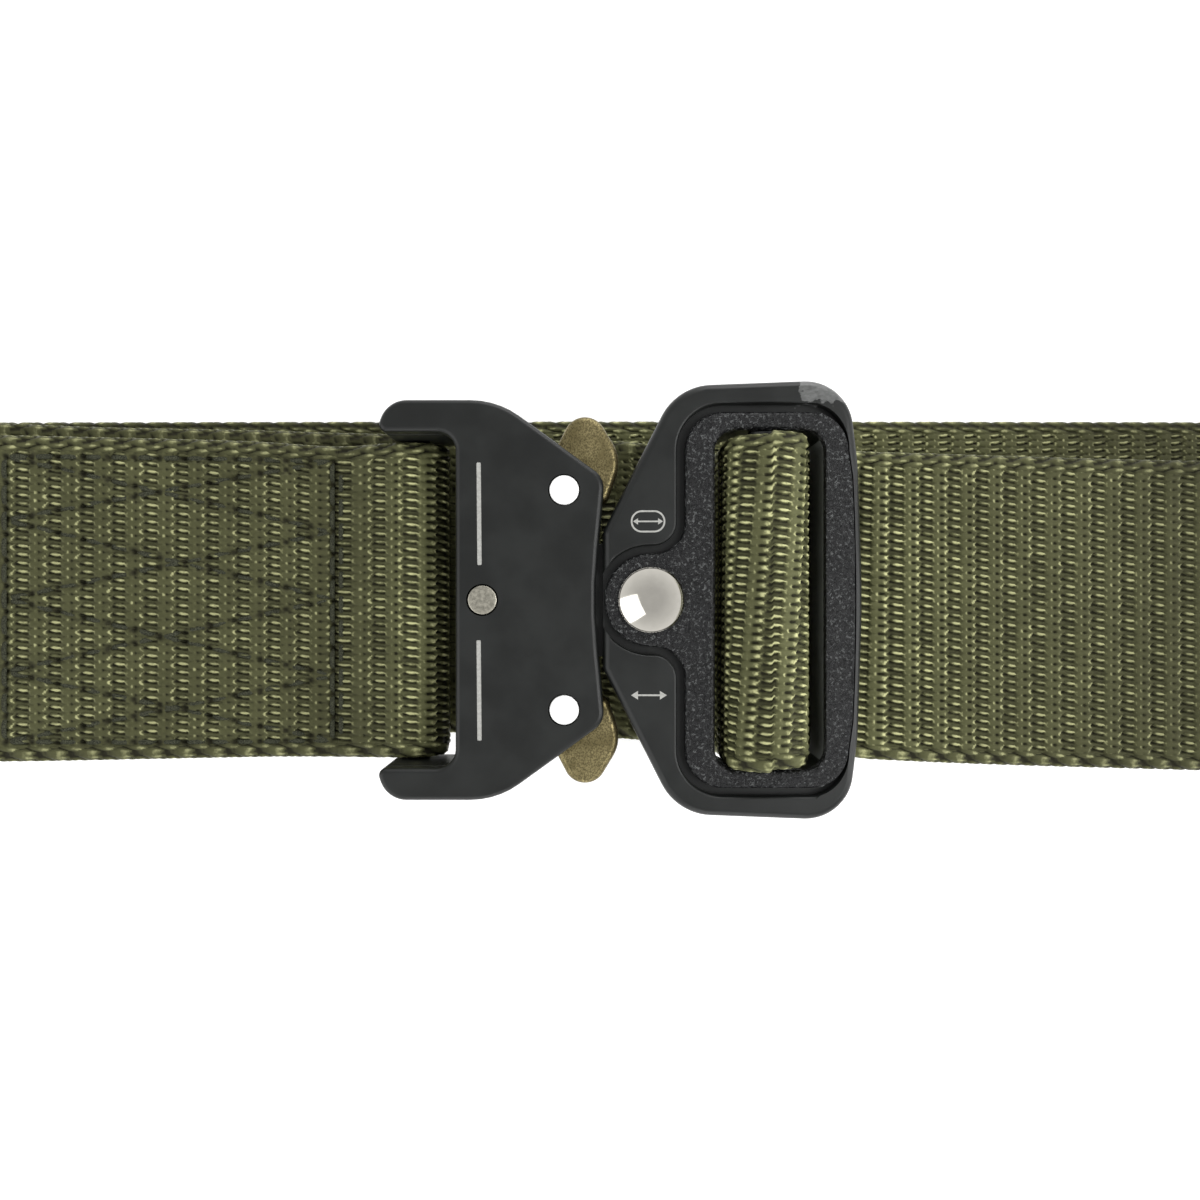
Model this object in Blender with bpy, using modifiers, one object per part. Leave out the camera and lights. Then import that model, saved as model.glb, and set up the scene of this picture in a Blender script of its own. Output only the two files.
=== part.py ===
"""Webbing belt with a fastened metal quick-release buckle, lying closed and flat with the buckle up.

The belt is one strap of woven webbing. Its sewn end wraps the bar of the buckle's housing, the strap
runs round the loop, comes up through the adjuster frame, over the slide bar and back down, and ends
as a free tail behind the buckle. +X runs along the belt, +Y across it, and +Z up from the surface.
Sizes are in metres, written as millimetres times MM.
"""

import math

import bmesh
import bpy

MM = 0.001
GAP = 0.3 * MM  # between pieces that touch on the real belt
FIT = 0.15 * MM  # round a rivet in its hole

# Strap
WEB_WIDTH = 38.1 * MM
WEB_THICK = 2.3 * MM
WEB_EDGE = 0.4 * MM
LAYER = WEB_THICK + GAP  # one layer of webbing to the next, centre to centre
FOLD_X = 251.1 * MM  # centre of the loop's two end folds
FOLD_RADIUS = 13.85 * MM
REAR_Z = WEB_THICK / 2
FOLD_TOP = REAR_Z + 2 * FOLD_RADIUS
REAR_Y = 5.95  # in mm: the rear half of the loop lies this far off the buckle's middle
FLAP_END = -75.0 * MM
TAIL_END = -110.0 * MM

# Housing of the buckle
HOUSING_BOTTOM = 19.3 * MM
LEVER_FLOOR = 25.2 * MM
LEVER_LOW = 25.5 * MM
LEVER_HIGH = 28.7 * MM
COVER_LOW = 29.0 * MM
COVER_HIGH = 31.3 * MM
SPACER_RIGHT = -11.9 * MM  # the housing is solid between its plates left of this
STRAP_BAR_X = -22.9 * MM
STRAP_BAR_Z = 20.75 * MM
STRAP_BAR_RADIUS = 1.75 * MM
STRAP_BAR_GAP = 0.2 * MM
ARM_INNER = 19.3 * MM
ARM_SLOT_X = -16.3 * MM
COVER_SLOT_CORNER = 2.2 * MM
BASE_SLOT_CORNER = 1.3 * MM  # tighter than the cover's, clear of the strap's edges
PIVOT_X = -4.1 * MM
PIVOT_Y = 12.6 * MM
REAR_RIVET_X = -13.5 * MM
RIVET_HEAD = 1.68 * MM
RIVET_SHANK = 1.2 * MM
CORNER = 0.5 * MM  # broken edge of the black plates

# Adjuster frame of the buckle
FRAME_BOTTOM = 21.3 * MM
FRAME_TOP = 31.3 * MM
RECESS_FLOOR = 29.4 * MM
RING_LOW = 29.7 * MM
RING_HIGH = 31.2 * MM
SLOT_LEFT = 13.2 * MM
SLOT_RIGHT = 25.9 * MM
SLOT_HALF = 19.55 * MM
SLOT_CORNER = 2.4 * MM
BOSS_X = 5.85 * MM
BOSS_RADIUS = 5.15 * MM
GROOVE = 1.05 * MM
NECK_X = 6.15 * MM
NECK_RADIUS = 3.6 * MM
NECK_Y = math.sqrt((BOSS_RADIUS + NECK_RADIUS) ** 2 - (NECK_X - BOSS_X) ** 2)
RING_LEFT = NECK_X + NECK_RADIUS
RING_HALF = 21.6 * MM
RING_RIGHT = 29.5 * MM
RING_CORNER = 4.4 * MM
SLIDE_X = 19.3 * MM
SLIDE_Z = 29.5 * MM
SLIDE_RADIUS = 2.25 * MM
SLIDE_END = 21.0 * MM
TENON_LOW = 27.0 * MM
TENON_HIGH = 29.1 * MM
TENON_HALF = 1.7 * MM
TONGUE_LOW = 25.5 * MM
TONGUE_HIGH = 28.6 * MM
TONGUE_TIP = -11.5 * MM
TONGUE_HALF = 6.6 * MM
NOTCH_LEFT = -10.2 * MM
NOTCH_RIGHT = -6.3 * MM
NOTCH_FLOOR = 4.9 * MM
DOME_RADIUS = 3.7 * MM
DOME_LOW = 31.5 * MM
DOME_RIM = 0.25 * MM
DOME_RISE = 1.35 * MM
DOME_SHANK = 1.3 * MM
DOME_SHANK_LOW = 21.5 * MM

OLIVE = (0.115, 0.112, 0.045)
BLACK = (0.020, 0.022, 0.022)
CHARCOAL = (0.016, 0.016, 0.018)
BRASS = (0.36, 0.27, 0.12)
STEEL = (0.62, 0.60, 0.56)


def clear_scene():
    """Removes whatever the scene holds."""
    for item in list(bpy.data.objects):
        bpy.data.objects.remove(item)


def collection(name):
    """A new collection under the scene's own."""
    made = bpy.data.collections.new(name)
    bpy.context.scene.collection.children.link(made)
    return made


def material(name, colour, roughness, metallic):
    """A plain Principled material."""
    made = bpy.data.materials.new(name)
    made.use_nodes = True
    shader = made.node_tree.nodes["Principled BSDF"]
    shader.inputs["Base Color"].default_value = (*colour, 1.0)
    shader.inputs["Roughness"].default_value = roughness
    shader.inputs["Metallic"].default_value = metallic
    return made


def place(item, group):
    """Puts an object in one collection only."""
    for other in list(item.users_collection):
        other.objects.unlink(item)
    group.objects.link(item)


def finish(item, paint, sharp=35):
    """Gives a part its material, its collection and smooth shading with sharp corners kept."""
    place(item, PARTS)
    item.data.materials.clear()
    item.data.materials.append(paint)
    item.data.shade_smooth()
    item.data.set_sharp_from_angle(angle=math.radians(sharp))
    return item


def helper(item):
    """Marks an object as a cutter or a piece that a Boolean joins on."""
    place(item, CUTTERS)
    item.hide_render = True
    item.display_type = "WIRE"
    return item


def boolean(item, other, operation, solver="EXACT"):
    """Cuts or joins two closed meshes."""
    step = item.modifiers.new(f"{operation.lower()} {other.name}", "BOOLEAN")
    step.operation = operation
    step.object = helper(other)
    step.solver = solver


def bevel(item, width, angle=50):
    """Breaks an object's sharp edges."""
    step = item.modifiers.new("broken edges", "BEVEL")
    step.width = width
    step.segments = 1
    step.limit_method = "ANGLE"
    step.angle_limit = math.radians(angle)


def arc(x, y, radius, start, end, steps):
    """Points on an arc about (x, y), from one angle to another in degrees."""
    points = []
    for step in range(steps + 1):
        angle = math.radians(start + (end - start) * step / steps)
        points.append((x + radius * math.cos(angle), y + radius * math.sin(angle)))
    return points


def rounded(corners, degrees_a_step=22):
    """Outline of a closed polygon of (x, y, radius) corners, each rounded by an arc of its radius."""
    outline = []
    for index, (x, y, radius) in enumerate(corners):
        before = corners[index - 1]
        after = corners[(index + 1) % len(corners)]
        if not radius:
            outline.append((x, y))
            continue
        arriving = math.atan2(y - before[1], x - before[0])
        turn = math.atan2(after[1] - y, after[0] - x) - arriving
        turn = (turn + math.pi) % math.tau - math.pi
        side = math.copysign(1, turn)
        reach = radius * math.tan(abs(turn) / 2)
        centre_x = x - reach * math.cos(arriving) - side * radius * math.sin(arriving)
        centre_y = y - reach * math.sin(arriving) + side * radius * math.cos(arriving)
        start = math.degrees(arriving) - side * 90
        steps = max(2, round(abs(math.degrees(turn)) / degrees_a_step))
        outline += arc(centre_x, centre_y, radius, start, start + math.degrees(turn), steps)
    return outline


def mirrored(half):
    """A closed outline from its half with y above zero, mirrored about the X axis."""
    return half + [(x, -y, *rest) for x, y, *rest in reversed(half) if y]


def plate(name, outlines, low, high):
    """A flat plate as a mesh: a filled curve of one outline and any holes in it, made solid."""
    curve = bpy.data.curves.new(name, "CURVE")
    curve.dimensions = "2D"
    curve.fill_mode = "BOTH"
    curve.extrude = (high - low) / 2
    for outline in outlines:
        spline = curve.splines.new("POLY")
        spline.points.add(len(outline) - 1)
        for point, (x, y) in zip(spline.points, outline):
            point.co = (x, y, 0, 1)
        spline.use_cyclic_u = True
    drawn = bpy.data.objects.new(f"{name} curve", curve)
    drawn.location.z = (low + high) / 2
    CUTTERS.objects.link(drawn)
    bpy.context.view_layer.update()
    mesh = bpy.data.meshes.new_from_object(drawn.evaluated_get(bpy.context.evaluated_depsgraph_get()))
    mesh.name = name
    welded = bmesh.new()
    welded.from_mesh(mesh)
    bmesh.ops.remove_doubles(welded, verts=welded.verts, dist=0.001 * MM)
    bmesh.ops.dissolve_limit(
        welded, angle_limit=math.radians(1), verts=welded.verts, edges=welded.edges, delimit={"NORMAL"}
    )
    bmesh.ops.recalc_face_normals(welded, faces=welded.faces)
    welded.to_mesh(mesh)
    welded.free()
    made = bpy.data.objects.new(name, mesh)
    made.matrix_world = drawn.matrix_world
    CUTTERS.objects.link(made)
    bpy.data.objects.remove(drawn)
    return made


def cylinder(name, x, y, radius, low, high, sides=24):
    """An upright cylinder."""
    bpy.ops.mesh.primitive_cylinder_add(
        vertices=sides, radius=radius, depth=high - low, location=(x, y, (low + high) / 2)
    )
    made = bpy.context.object
    made.name = name
    return made


def box(name, low, high):
    """A box between two corners."""
    centre = [(a + b) / 2 for a, b in zip(low, high)]
    bpy.ops.mesh.primitive_cube_add(size=1, location=centre)
    made = bpy.context.object
    made.name = name
    made.scale = [b - a for a, b in zip(low, high)]
    bpy.ops.object.transform_apply(location=False, rotation=False, scale=True)
    return made


def bar(name, x, z, radius, half, sides=24):
    """A round bar along Y."""
    bpy.ops.mesh.primitive_cylinder_add(
        vertices=sides, radius=radius, depth=2 * half, location=(x, 0, z), rotation=(math.pi / 2, 0, 0)
    )
    made = bpy.context.object
    made.name = name
    return made


def turned(name, x, y, profile, steps=24):
    """A turned piece about an upright axis, from (radius, z) points that run down its outer side."""
    mesh = bpy.data.meshes.new(name)
    mesh.from_pydata([(radius, 0, z) for radius, z in profile], [(i, i + 1) for i in range(len(profile) - 1)], [])
    made = bpy.data.objects.new(name, mesh)
    made.location = (x, y, 0)
    CUTTERS.objects.link(made)
    screw = made.modifiers.new("turn", "SCREW")
    screw.steps = screw.render_steps = steps
    screw.use_merge_vertices = True
    screw.merge_threshold = 0.01 * MM
    return made


def smooth(knots, x):
    """Height at x of a smooth curve through (x, height) knots, level at both ends."""
    knots = sorted(knots)
    if x <= knots[0][0]:
        return knots[0][1]
    for index in range(len(knots) - 1):
        (x0, y0), (x1, y1) = knots[index], knots[index + 1]
        if x <= x1:
            break
    if x > x1:
        return y1

    def slope(at):
        if at in (0, len(knots) - 1):
            return 0.0
        return (knots[at + 1][1] - knots[at - 1][1]) / (knots[at + 1][0] - knots[at - 1][0])

    run = x1 - x0
    t = (x - x0) / run
    start, end = slope(index) * run, slope(index + 1) * run
    return (
        (2 * t**3 - 3 * t**2 + 1) * y0
        + (t**3 - 2 * t**2 + t) * start
        + (3 * t**2 - 2 * t**3) * y1
        + (t**3 - t**2) * end
    )


def in_mm(*knots):
    """Knots given in millimetres."""
    return [(x * MM, height * MM) for x, height in knots]


WRAP_RADIUS = STRAP_BAR_RADIUS + STRAP_BAR_GAP + WEB_THICK / 2
WRAP_TOP = STRAP_BAR_Z + WRAP_RADIUS
WRAP_BOTTOM = STRAP_BAR_Z - WRAP_RADIUS
SLIDE_WRAP = SLIDE_RADIUS + GAP + WEB_THICK / 2
BEND = 3.0 * MM  # radius of the strap's two bends below the adjuster
UNDER_FRAME = 19.75 * MM
UNDER_HOUSING = 15.95 * MM
JOIN_X = -32.0 * MM  # the flap lies against the front layer from here on

FRONT_LEFT_Z = in_mm(
    (-32, 21.85), (-36.5, 22.6), (-41.5, 24.0), (-47.6, 25.2), (-58.7, 26.95), (-69.7, 28.3), (-110, 29.3)
) + [(STRAP_BAR_X, WRAP_TOP), (-FOLD_X, FOLD_TOP)]
FRONT_LEFT_Y = in_mm((-22.9, 0), (-32, -0.2), (-42, 0.1), (-72, 0.2), (-251.1, 1.5))
FRONT_RIGHT_Z = in_mm((34, 20.65), (45, 21.3), (73, 21.5), (110, 23.6), (170, 27.6)) + [
    (28.3 * MM, UNDER_FRAME),
    (FOLD_X, FOLD_TOP),
]
FRONT_RIGHT_Y = in_mm((26, 0), (34, -0.7), (73, -1.9), (110, -2.4), (180, -1.2), (251.1, 0.5))
REAR_SIDE_Y = in_mm((-251.1, 4.4), (-150, REAR_Y), (150, REAR_Y), (251.1, 3.9))
TAIL_BEND_X = SLIDE_X - SLIDE_WRAP - BEND
TAIL_Z = in_mm(
    (-10, 15.9), (-22.9, 14.95), (-32, 16.3), (-36.5, 17.2), (-41.5, 18.6), (-47.6, 19.85), (-58.7, 21.6),
    (-69.7, 22.95), (-85, 25.0), (-110, 26.3),
) + [(TAIL_BEND_X, UNDER_HOUSING)]
TAIL_Y = in_mm(
    (15.6, 0.25), (12.6, 0.5), (4, 1.3), (-6, 1.4), (-20, 2.0), (-28, 2.3), (-60, 2.15), (-72, 2.4), (-110, 3.2)
)


def spread(start, end, steps):
    """Evenly spaced values from start to end."""
    return [start + (end - start) * step / steps for step in range(steps + 1)]


def flap_height(x):
    """Height of the sewn flap: it leaves the wrap's underside and then follows the front layer."""
    if x > JOIN_X:
        near = [(STRAP_BAR_X, WRAP_BOTTOM), (JOIN_X, smooth(FRONT_LEFT_Z, JOIN_X) - LAYER)]
        return smooth(near, x)
    step = 0.5 * MM
    rise = (smooth(FRONT_LEFT_Z, x + step) - smooth(FRONT_LEFT_Z, x - step)) / (2 * step)
    return smooth(FRONT_LEFT_Z, x) - LAYER * math.hypot(1, rise)


def strap_path():
    """Stations (x, y, z) of the strap's middle, from the sewn end to the free end."""
    path = []
    for x in spread(FLAP_END, JOIN_X, 11) + spread(JOIN_X, STRAP_BAR_X, 4)[1:-1]:
        path.append((x, smooth(FRONT_LEFT_Y, x), flap_height(x)))
    for x, z in arc(STRAP_BAR_X, STRAP_BAR_Z, WRAP_RADIUS, -90, 90, 10):
        path.append((x, 0, z))
    front_left = spread(STRAP_BAR_X, JOIN_X, 5)[1:] + spread(JOIN_X, FLAP_END, 11)[1:]
    front_left += spread(FLAP_END, TAIL_END, 4)[1:] + spread(TAIL_END, -FOLD_X, 5)[1:-1]
    for x in front_left:
        path.append((x, smooth(FRONT_LEFT_Y, x), smooth(FRONT_LEFT_Z, x)))
    path += fold(-FOLD_X, 90, 270, smooth(FRONT_LEFT_Y, -FOLD_X), smooth(REAR_SIDE_Y, -FOLD_X))
    for x in spread(-FOLD_X, -150 * MM, 4)[1:] + spread(150 * MM, FOLD_X, 4)[:-1]:
        path.append((x, smooth(REAR_SIDE_Y, x), REAR_Z))
    path += fold(FOLD_X, -90, 90, smooth(REAR_SIDE_Y, FOLD_X), smooth(FRONT_RIGHT_Y, FOLD_X))
    under_bar = SLIDE_X + SLIDE_WRAP + BEND
    front_right = spread(FOLD_X, 73 * MM, 10)[1:] + spread(73 * MM, 28.3 * MM, 9)[1:]
    for x in front_right:
        path.append((x, smooth(FRONT_RIGHT_Y, x), smooth(FRONT_RIGHT_Z, x)))
    for x, z in arc(under_bar, UNDER_FRAME + BEND, BEND, -90, -180, 5):
        path.append((x, 0, z))
    for x, z in arc(SLIDE_X, SLIDE_Z, SLIDE_WRAP, 0, 180, 12):
        path.append((x, smooth(TAIL_Y, x) if x < SLIDE_X else 0, z))
    for x, z in arc(TAIL_BEND_X, UNDER_HOUSING + BEND, BEND, 0, -90, 5):
        path.append((x, smooth(TAIL_Y, x), z))
    tail = spread(TAIL_BEND_X, STRAP_BAR_X, 8)[1:] + spread(STRAP_BAR_X, TAIL_END, 24)[1:]
    for x in tail:
        path.append((x, smooth(TAIL_Y, x), smooth(TAIL_Z, x)))
    return path


def fold(x, start, end, y_start, y_end):
    """One end fold of the loop, moving sideways from one layer's line to the other's."""
    steps = 14
    points = []
    for step, (fx, fz) in enumerate(arc(x, REAR_Z + FOLD_RADIUS, FOLD_RADIUS, start, end, steps)):
        share = step / steps
        share = share * share * (3 - 2 * share)
        points.append((fx, y_start + (y_end - y_start) * share, fz))
    return points


def make_webbing():
    """The strap: a ribbon drawn along its path, thickened to the webbing's wall."""
    mesh = bpy.data.meshes.new("webbing")
    ribbon = bmesh.new()
    line = [ribbon.verts.new((x, y - WEB_WIDTH / 2, z)) for x, y, z in strap_path()]
    edges = [ribbon.edges.new(pair) for pair in zip(line, line[1:])]
    swept = bmesh.ops.extrude_edge_only(ribbon, edges=edges)["geom"]
    far_side = [item for item in swept if isinstance(item, bmesh.types.BMVert)]
    bmesh.ops.translate(ribbon, verts=far_side, vec=(0, WEB_WIDTH, 0))
    bmesh.ops.recalc_face_normals(ribbon, faces=ribbon.faces)
    ribbon.to_mesh(mesh)
    ribbon.free()
    made = bpy.data.objects.new("webbing", mesh)
    thick = made.modifiers.new("wall", "SOLIDIFY")
    thick.thickness = WEB_THICK
    thick.offset = 0
    thick.use_even_offset = True
    bevel(made, WEB_EDGE, angle=60)
    return finish(made, FABRIC, sharp=50)


def housing_outline(slot_corner):
    """Outline of the housing: two arms beside the strap bar, and shoulders that the levers stand out of."""
    half = [
        (-1.35 * MM, 0, 60 * MM),
        (0.5 * MM, 13.8 * MM, 1.4 * MM),
        (-12.6 * MM, 22.8 * MM, 4.0 * MM),
        (-22.6 * MM, 22.8 * MM, 4.5 * MM),
        (-26.6 * MM, ARM_INNER, 0.8 * MM),
        (ARM_SLOT_X, ARM_INNER, slot_corner),
    ]
    return rounded(mirrored(half))


def make_housing_top():
    """The cover plate, with a hole for each rivet's head."""
    made = plate("housing_top", [housing_outline(COVER_SLOT_CORNER)], COVER_LOW, COVER_HIGH)
    bevel(made, CORNER)
    for x, y in ((PIVOT_X, PIVOT_Y), (PIVOT_X, -PIVOT_Y), (REAR_RIVET_X, 0)):
        boolean(made, cylinder("head hole", x, y, RIVET_HEAD + FIT, COVER_LOW - MM, COVER_HIGH + MM), "DIFFERENCE")
    return finish(made, PAINT)


def make_housing_base():
    """The lower body: floor under the levers, solid back, and the bar that the strap is sewn round."""
    made = plate("housing_base", [housing_outline(BASE_SLOT_CORNER)], HOUSING_BOTTOM, LEVER_HIGH)
    bevel(made, CORNER)
    boolean(
        made,
        box("lever room", (SPACER_RIGHT, -30 * MM, LEVER_FLOOR), (9 * MM, 30 * MM, LEVER_HIGH + MM)),
        "DIFFERENCE",
    )
    for x, y in ((PIVOT_X, PIVOT_Y), (PIVOT_X, -PIVOT_Y), (REAR_RIVET_X, 0)):
        hole = cylinder("shank hole", x, y, RIVET_SHANK + FIT, HOUSING_BOTTOM - MM, LEVER_HIGH + MM)
        boolean(made, hole, "DIFFERENCE")
    boolean(made, bar("strap bar", STRAP_BAR_X, STRAP_BAR_Z, STRAP_BAR_RADIUS, ARM_INNER + MM), "UNION")
    return finish(made, PAINT)


def lever_outline(side):
    """Outline of a lever: an ear outside the housing, a round boss on the pivot, and a claw inside."""
    corners = [
        (0.9 * MM, 11.6 * MM, 0.8 * MM),
        (2.6 * MM, 16.6 * MM, 4.5 * MM),
        (-1.9 * MM, 22.9 * MM, 2.1 * MM),
        (-5.6 * MM, 17.0 * MM, 6.0 * MM),
        (-7.4 * MM, 11.5 * MM, 3.0 * MM),
        (-8.6 * MM, 5.2 * MM, 0.3 * MM),
        (-6.9 * MM, 5.2 * MM, 0.3 * MM),
        (-5.4 * MM, 9.2 * MM, 2.0 * MM),
    ]
    outline = rounded(corners)
    if side < 0:
        outline = [(x, -y) for x, y in reversed(outline)]
    return outline


def make_lever(name, side):
    """One brass release lever, with its origin on its pivot."""
    made = plate(name, [lever_outline(side)], LEVER_LOW, LEVER_HIGH)
    bevel(made, CORNER)
    hole = cylinder(
        "pivot hole", PIVOT_X, side * PIVOT_Y, RIVET_SHANK + FIT, LEVER_LOW - MM, LEVER_HIGH + MM
    )
    boolean(made, hole, "DIFFERENCE", "MANIFOLD")
    pivot = (PIVOT_X, side * PIVOT_Y, (LEVER_LOW + LEVER_HIGH) / 2)
    offset = [made.location[i] - pivot[i] for i in range(3)]
    for vertex in made.data.vertices:
        vertex.co.x += offset[0]
        vertex.co.y += offset[1]
        vertex.co.z += offset[2]
    made.location = pivot
    return finish(made, ANTIQUE)


def make_rivet(name, x, y, top):
    """A flush rivet: its head in the cover plate and its shank down through the base."""
    profile = [
        (0, top),
        (RIVET_HEAD - 0.15 * MM, top),
        (RIVET_HEAD, top - 0.15 * MM),
        (RIVET_HEAD, LEVER_HIGH + GAP),
        (RIVET_SHANK, LEVER_HIGH + GAP),
        (RIVET_SHANK, HOUSING_BOTTOM),
        (0, HOUSING_BOTTOM),
    ]
    return finish(turned(name, x, y, profile), BRIGHT)


def frame_outline():
    """Outer outline of the adjuster frame."""
    half = [
        (0.65 * MM, 7.9 * MM, 1.5 * MM),
        (8.85 * MM, 24.3 * MM, 6.6 * MM),
        (28.3 * MM, 25.05 * MM, 4.8 * MM),
        (29.75 * MM, 15.5 * MM, 25 * MM),
        (30.7 * MM, 0, 120 * MM),
    ]
    return rounded(mirrored(half))[::-1]


def neck_outline(grow, right):
    """Outline round the ring and its boss, grown outwards by a margin."""
    left, top = RING_LEFT - grow, RING_HALF + grow
    corner, neck, boss = RING_CORNER + grow, NECK_RADIUS - grow, BOSS_RADIUS + grow
    touch = math.degrees(math.atan2(NECK_Y, NECK_X - BOSS_X))
    half = arc(BOSS_X, 0, boss, 180, touch, 7)
    half += arc(NECK_X, NECK_Y, neck, touch - 180, 0, 5)[1:]
    half += arc(left + corner, top - corner, corner, 180, 90, 5)
    return half + right


def ring_outline():
    """Outline of the textured ring with its boss."""
    corner = RING_CORNER
    bulge = 0.9 * MM
    right = arc(RING_RIGHT - bulge - corner, RING_HALF - corner, corner, 90, 0, 5)
    right += [(RING_RIGHT - bulge * (y / RING_HALF) ** 2, y) for y in spread(14 * MM, 0, 3)]
    return mirrored(neck_outline(0, right))


def slot_outline():
    """The long window of frame and ring that the strap passes through."""
    half = [(SLOT_RIGHT, SLOT_HALF, SLOT_CORNER), (SLOT_LEFT, SLOT_HALF, SLOT_CORNER)]
    return rounded(mirrored(half))


def tongue_outline():
    """The flat tongue inside the housing, notched on both sides for the levers' claws."""
    half = [
        (3 * MM, TONGUE_HALF),
        (NOTCH_RIGHT, TONGUE_HALF),
        (NOTCH_RIGHT, NOTCH_FLOOR),
        (NOTCH_LEFT, NOTCH_FLOOR),
        (NOTCH_LEFT, TONGUE_HALF),
        (TONGUE_TIP + 0.5 * MM, TONGUE_HALF),
        (TONGUE_TIP, TONGUE_HALF - 1.5 * MM),
    ]
    return mirrored(half)


def make_frame_body():
    """The adjuster frame: rim, sunk bed of the ring, sockets of the slide bar, and the tongue."""
    made = plate("frame_body", [frame_outline(), slot_outline()], FRAME_BOTTOM, FRAME_TOP)
    bevel(made, CORNER)
    beyond = [(34 * MM, RING_HALF + GROOVE)]
    bed = plate("ring bed", [mirrored(neck_outline(GROOVE, beyond))], RECESS_FLOOR, FRAME_TOP + MM)
    boolean(made, bed, "DIFFERENCE")
    for side in (-1, 1):
        near, far = sorted((side * (SLOT_HALF - MM), side * (SLIDE_END + GAP)))
        reach = TENON_HALF + GAP
        low = (SLIDE_X - reach, near, TENON_LOW - GAP)
        high = (SLIDE_X + reach, far, RECESS_FLOOR + 0.5 * MM)
        boolean(made, box("slide bar socket", low, high), "DIFFERENCE")
    boolean(made, plate("tongue", [tongue_outline()], TONGUE_LOW, TONGUE_HIGH), "UNION")
    hole = cylinder("dome shank hole", BOSS_X, 0, DOME_SHANK + FIT, FRAME_BOTTOM - MM, FRAME_TOP + MM)
    boolean(made, hole, "DIFFERENCE")
    return finish(made, PAINT)


def make_frame_ring():
    """The textured ring inlaid in the frame, with the boss under the domed rivet."""
    made = plate("frame_ring", [ring_outline(), slot_outline()], RING_LOW, RING_HIGH)
    bevel(made, 0.3 * MM)
    hole = cylinder("ring rivet hole", BOSS_X, 0, DOME_SHANK + FIT, RING_LOW - MM, RING_HIGH + MM)
    boolean(made, hole, "DIFFERENCE")
    return finish(made, TEXTURED)


def make_slide_bar():
    """The round bar that the strap runs over, with a flat tenon at each end."""
    made = bar("slide_bar", SLIDE_X, SLIDE_Z, SLIDE_RADIUS, SLOT_HALF - GAP)
    low = (SLIDE_X - TENON_HALF, -SLIDE_END, TENON_LOW)
    high = (SLIDE_X + TENON_HALF, SLIDE_END, TENON_HIGH)
    boolean(made, box("tenons", low, high), "UNION")
    return finish(made, PAINT)


def make_dome_rivet():
    """The polished domed rivet that holds the ring to the frame."""
    sphere = (DOME_RADIUS**2 + DOME_RISE**2) / (2 * DOME_RISE)
    top = DOME_LOW + DOME_RIM + DOME_RISE
    steps = 7
    tilt = math.asin(DOME_RADIUS / sphere)
    cap = [
        (sphere * math.sin(tilt * step / steps), top - sphere * (1 - math.cos(tilt * step / steps)))
        for step in range(steps + 1)
    ]
    profile = cap + [
        (DOME_RADIUS, DOME_LOW),
        (DOME_SHANK, DOME_LOW),
        (DOME_SHANK, DOME_SHANK_LOW),
        (0, DOME_SHANK_LOW),
    ]
    return finish(turned("dome_rivet", BOSS_X, 0, profile, steps=32), BRIGHT)


clear_scene()
PARTS = collection("tactical belt")
CUTTERS = collection("cutters")
FABRIC = material("olive webbing", OLIVE, 0.75, 0.0)
PAINT = material("black satin paint", BLACK, 0.42, 0.0)
TEXTURED = material("black textured paint", CHARCOAL, 0.5, 0.0)
ANTIQUE = material("antique brass", BRASS, 0.45, 1.0)
BRIGHT = material("polished steel", STEEL, 0.15, 1.0)

make_webbing()
make_housing_base()
make_housing_top()
make_lever("lever_upper", 1)
make_lever("lever_lower", -1)
make_rivet("pivot_rivet_upper", PIVOT_X, PIVOT_Y, COVER_HIGH)
make_rivet("pivot_rivet_lower", PIVOT_X, -PIVOT_Y, COVER_HIGH)
make_rivet("rear_rivet", REAR_RIVET_X, 0, COVER_HIGH - 0.1 * MM)
make_frame_body()
make_frame_ring()
make_slide_bar()
make_dome_rivet()
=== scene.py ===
"""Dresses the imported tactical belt: woven strap, painted buckle, brass levers, rivets and stitching.

The strap's route and the outlines of the buckle's plates repeat the CAD source's values. Plates are
drawn as blanks, thickened, cut and broken at their edges. The strap is woven along its route.
+X runs along the belt, +Y across it, and +Z up from the surface that it lies on.
"""

import logging
import math
from collections.abc import Callable, Sequence
from dataclasses import dataclass, field
from enum import Enum

import bmesh
import bpy
import numpy as np
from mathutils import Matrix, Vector


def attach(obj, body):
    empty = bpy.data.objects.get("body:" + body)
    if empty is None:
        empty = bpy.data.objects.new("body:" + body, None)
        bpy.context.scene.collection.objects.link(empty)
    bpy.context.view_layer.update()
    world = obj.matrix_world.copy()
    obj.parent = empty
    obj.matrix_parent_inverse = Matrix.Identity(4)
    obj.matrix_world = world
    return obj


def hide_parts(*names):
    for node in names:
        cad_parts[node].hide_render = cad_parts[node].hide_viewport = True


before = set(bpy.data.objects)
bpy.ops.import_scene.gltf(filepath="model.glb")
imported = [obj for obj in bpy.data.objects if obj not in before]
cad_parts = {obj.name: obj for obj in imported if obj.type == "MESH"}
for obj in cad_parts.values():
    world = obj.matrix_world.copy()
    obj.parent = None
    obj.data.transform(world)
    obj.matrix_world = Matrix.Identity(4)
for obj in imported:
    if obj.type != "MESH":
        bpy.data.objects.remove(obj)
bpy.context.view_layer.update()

LOG = logging.getLogger("tactical_belt")
MM = 0.001
BELT = "belt"
CAMERA_HEIGHT = 154.7  # mm above the surface
FOCAL_PX = 1078.0  # in the 1200 pixel frame
CENTRE_PX = 600.0
TOUCH = 0.01  # mm within which a point counts as lying on a level

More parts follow.
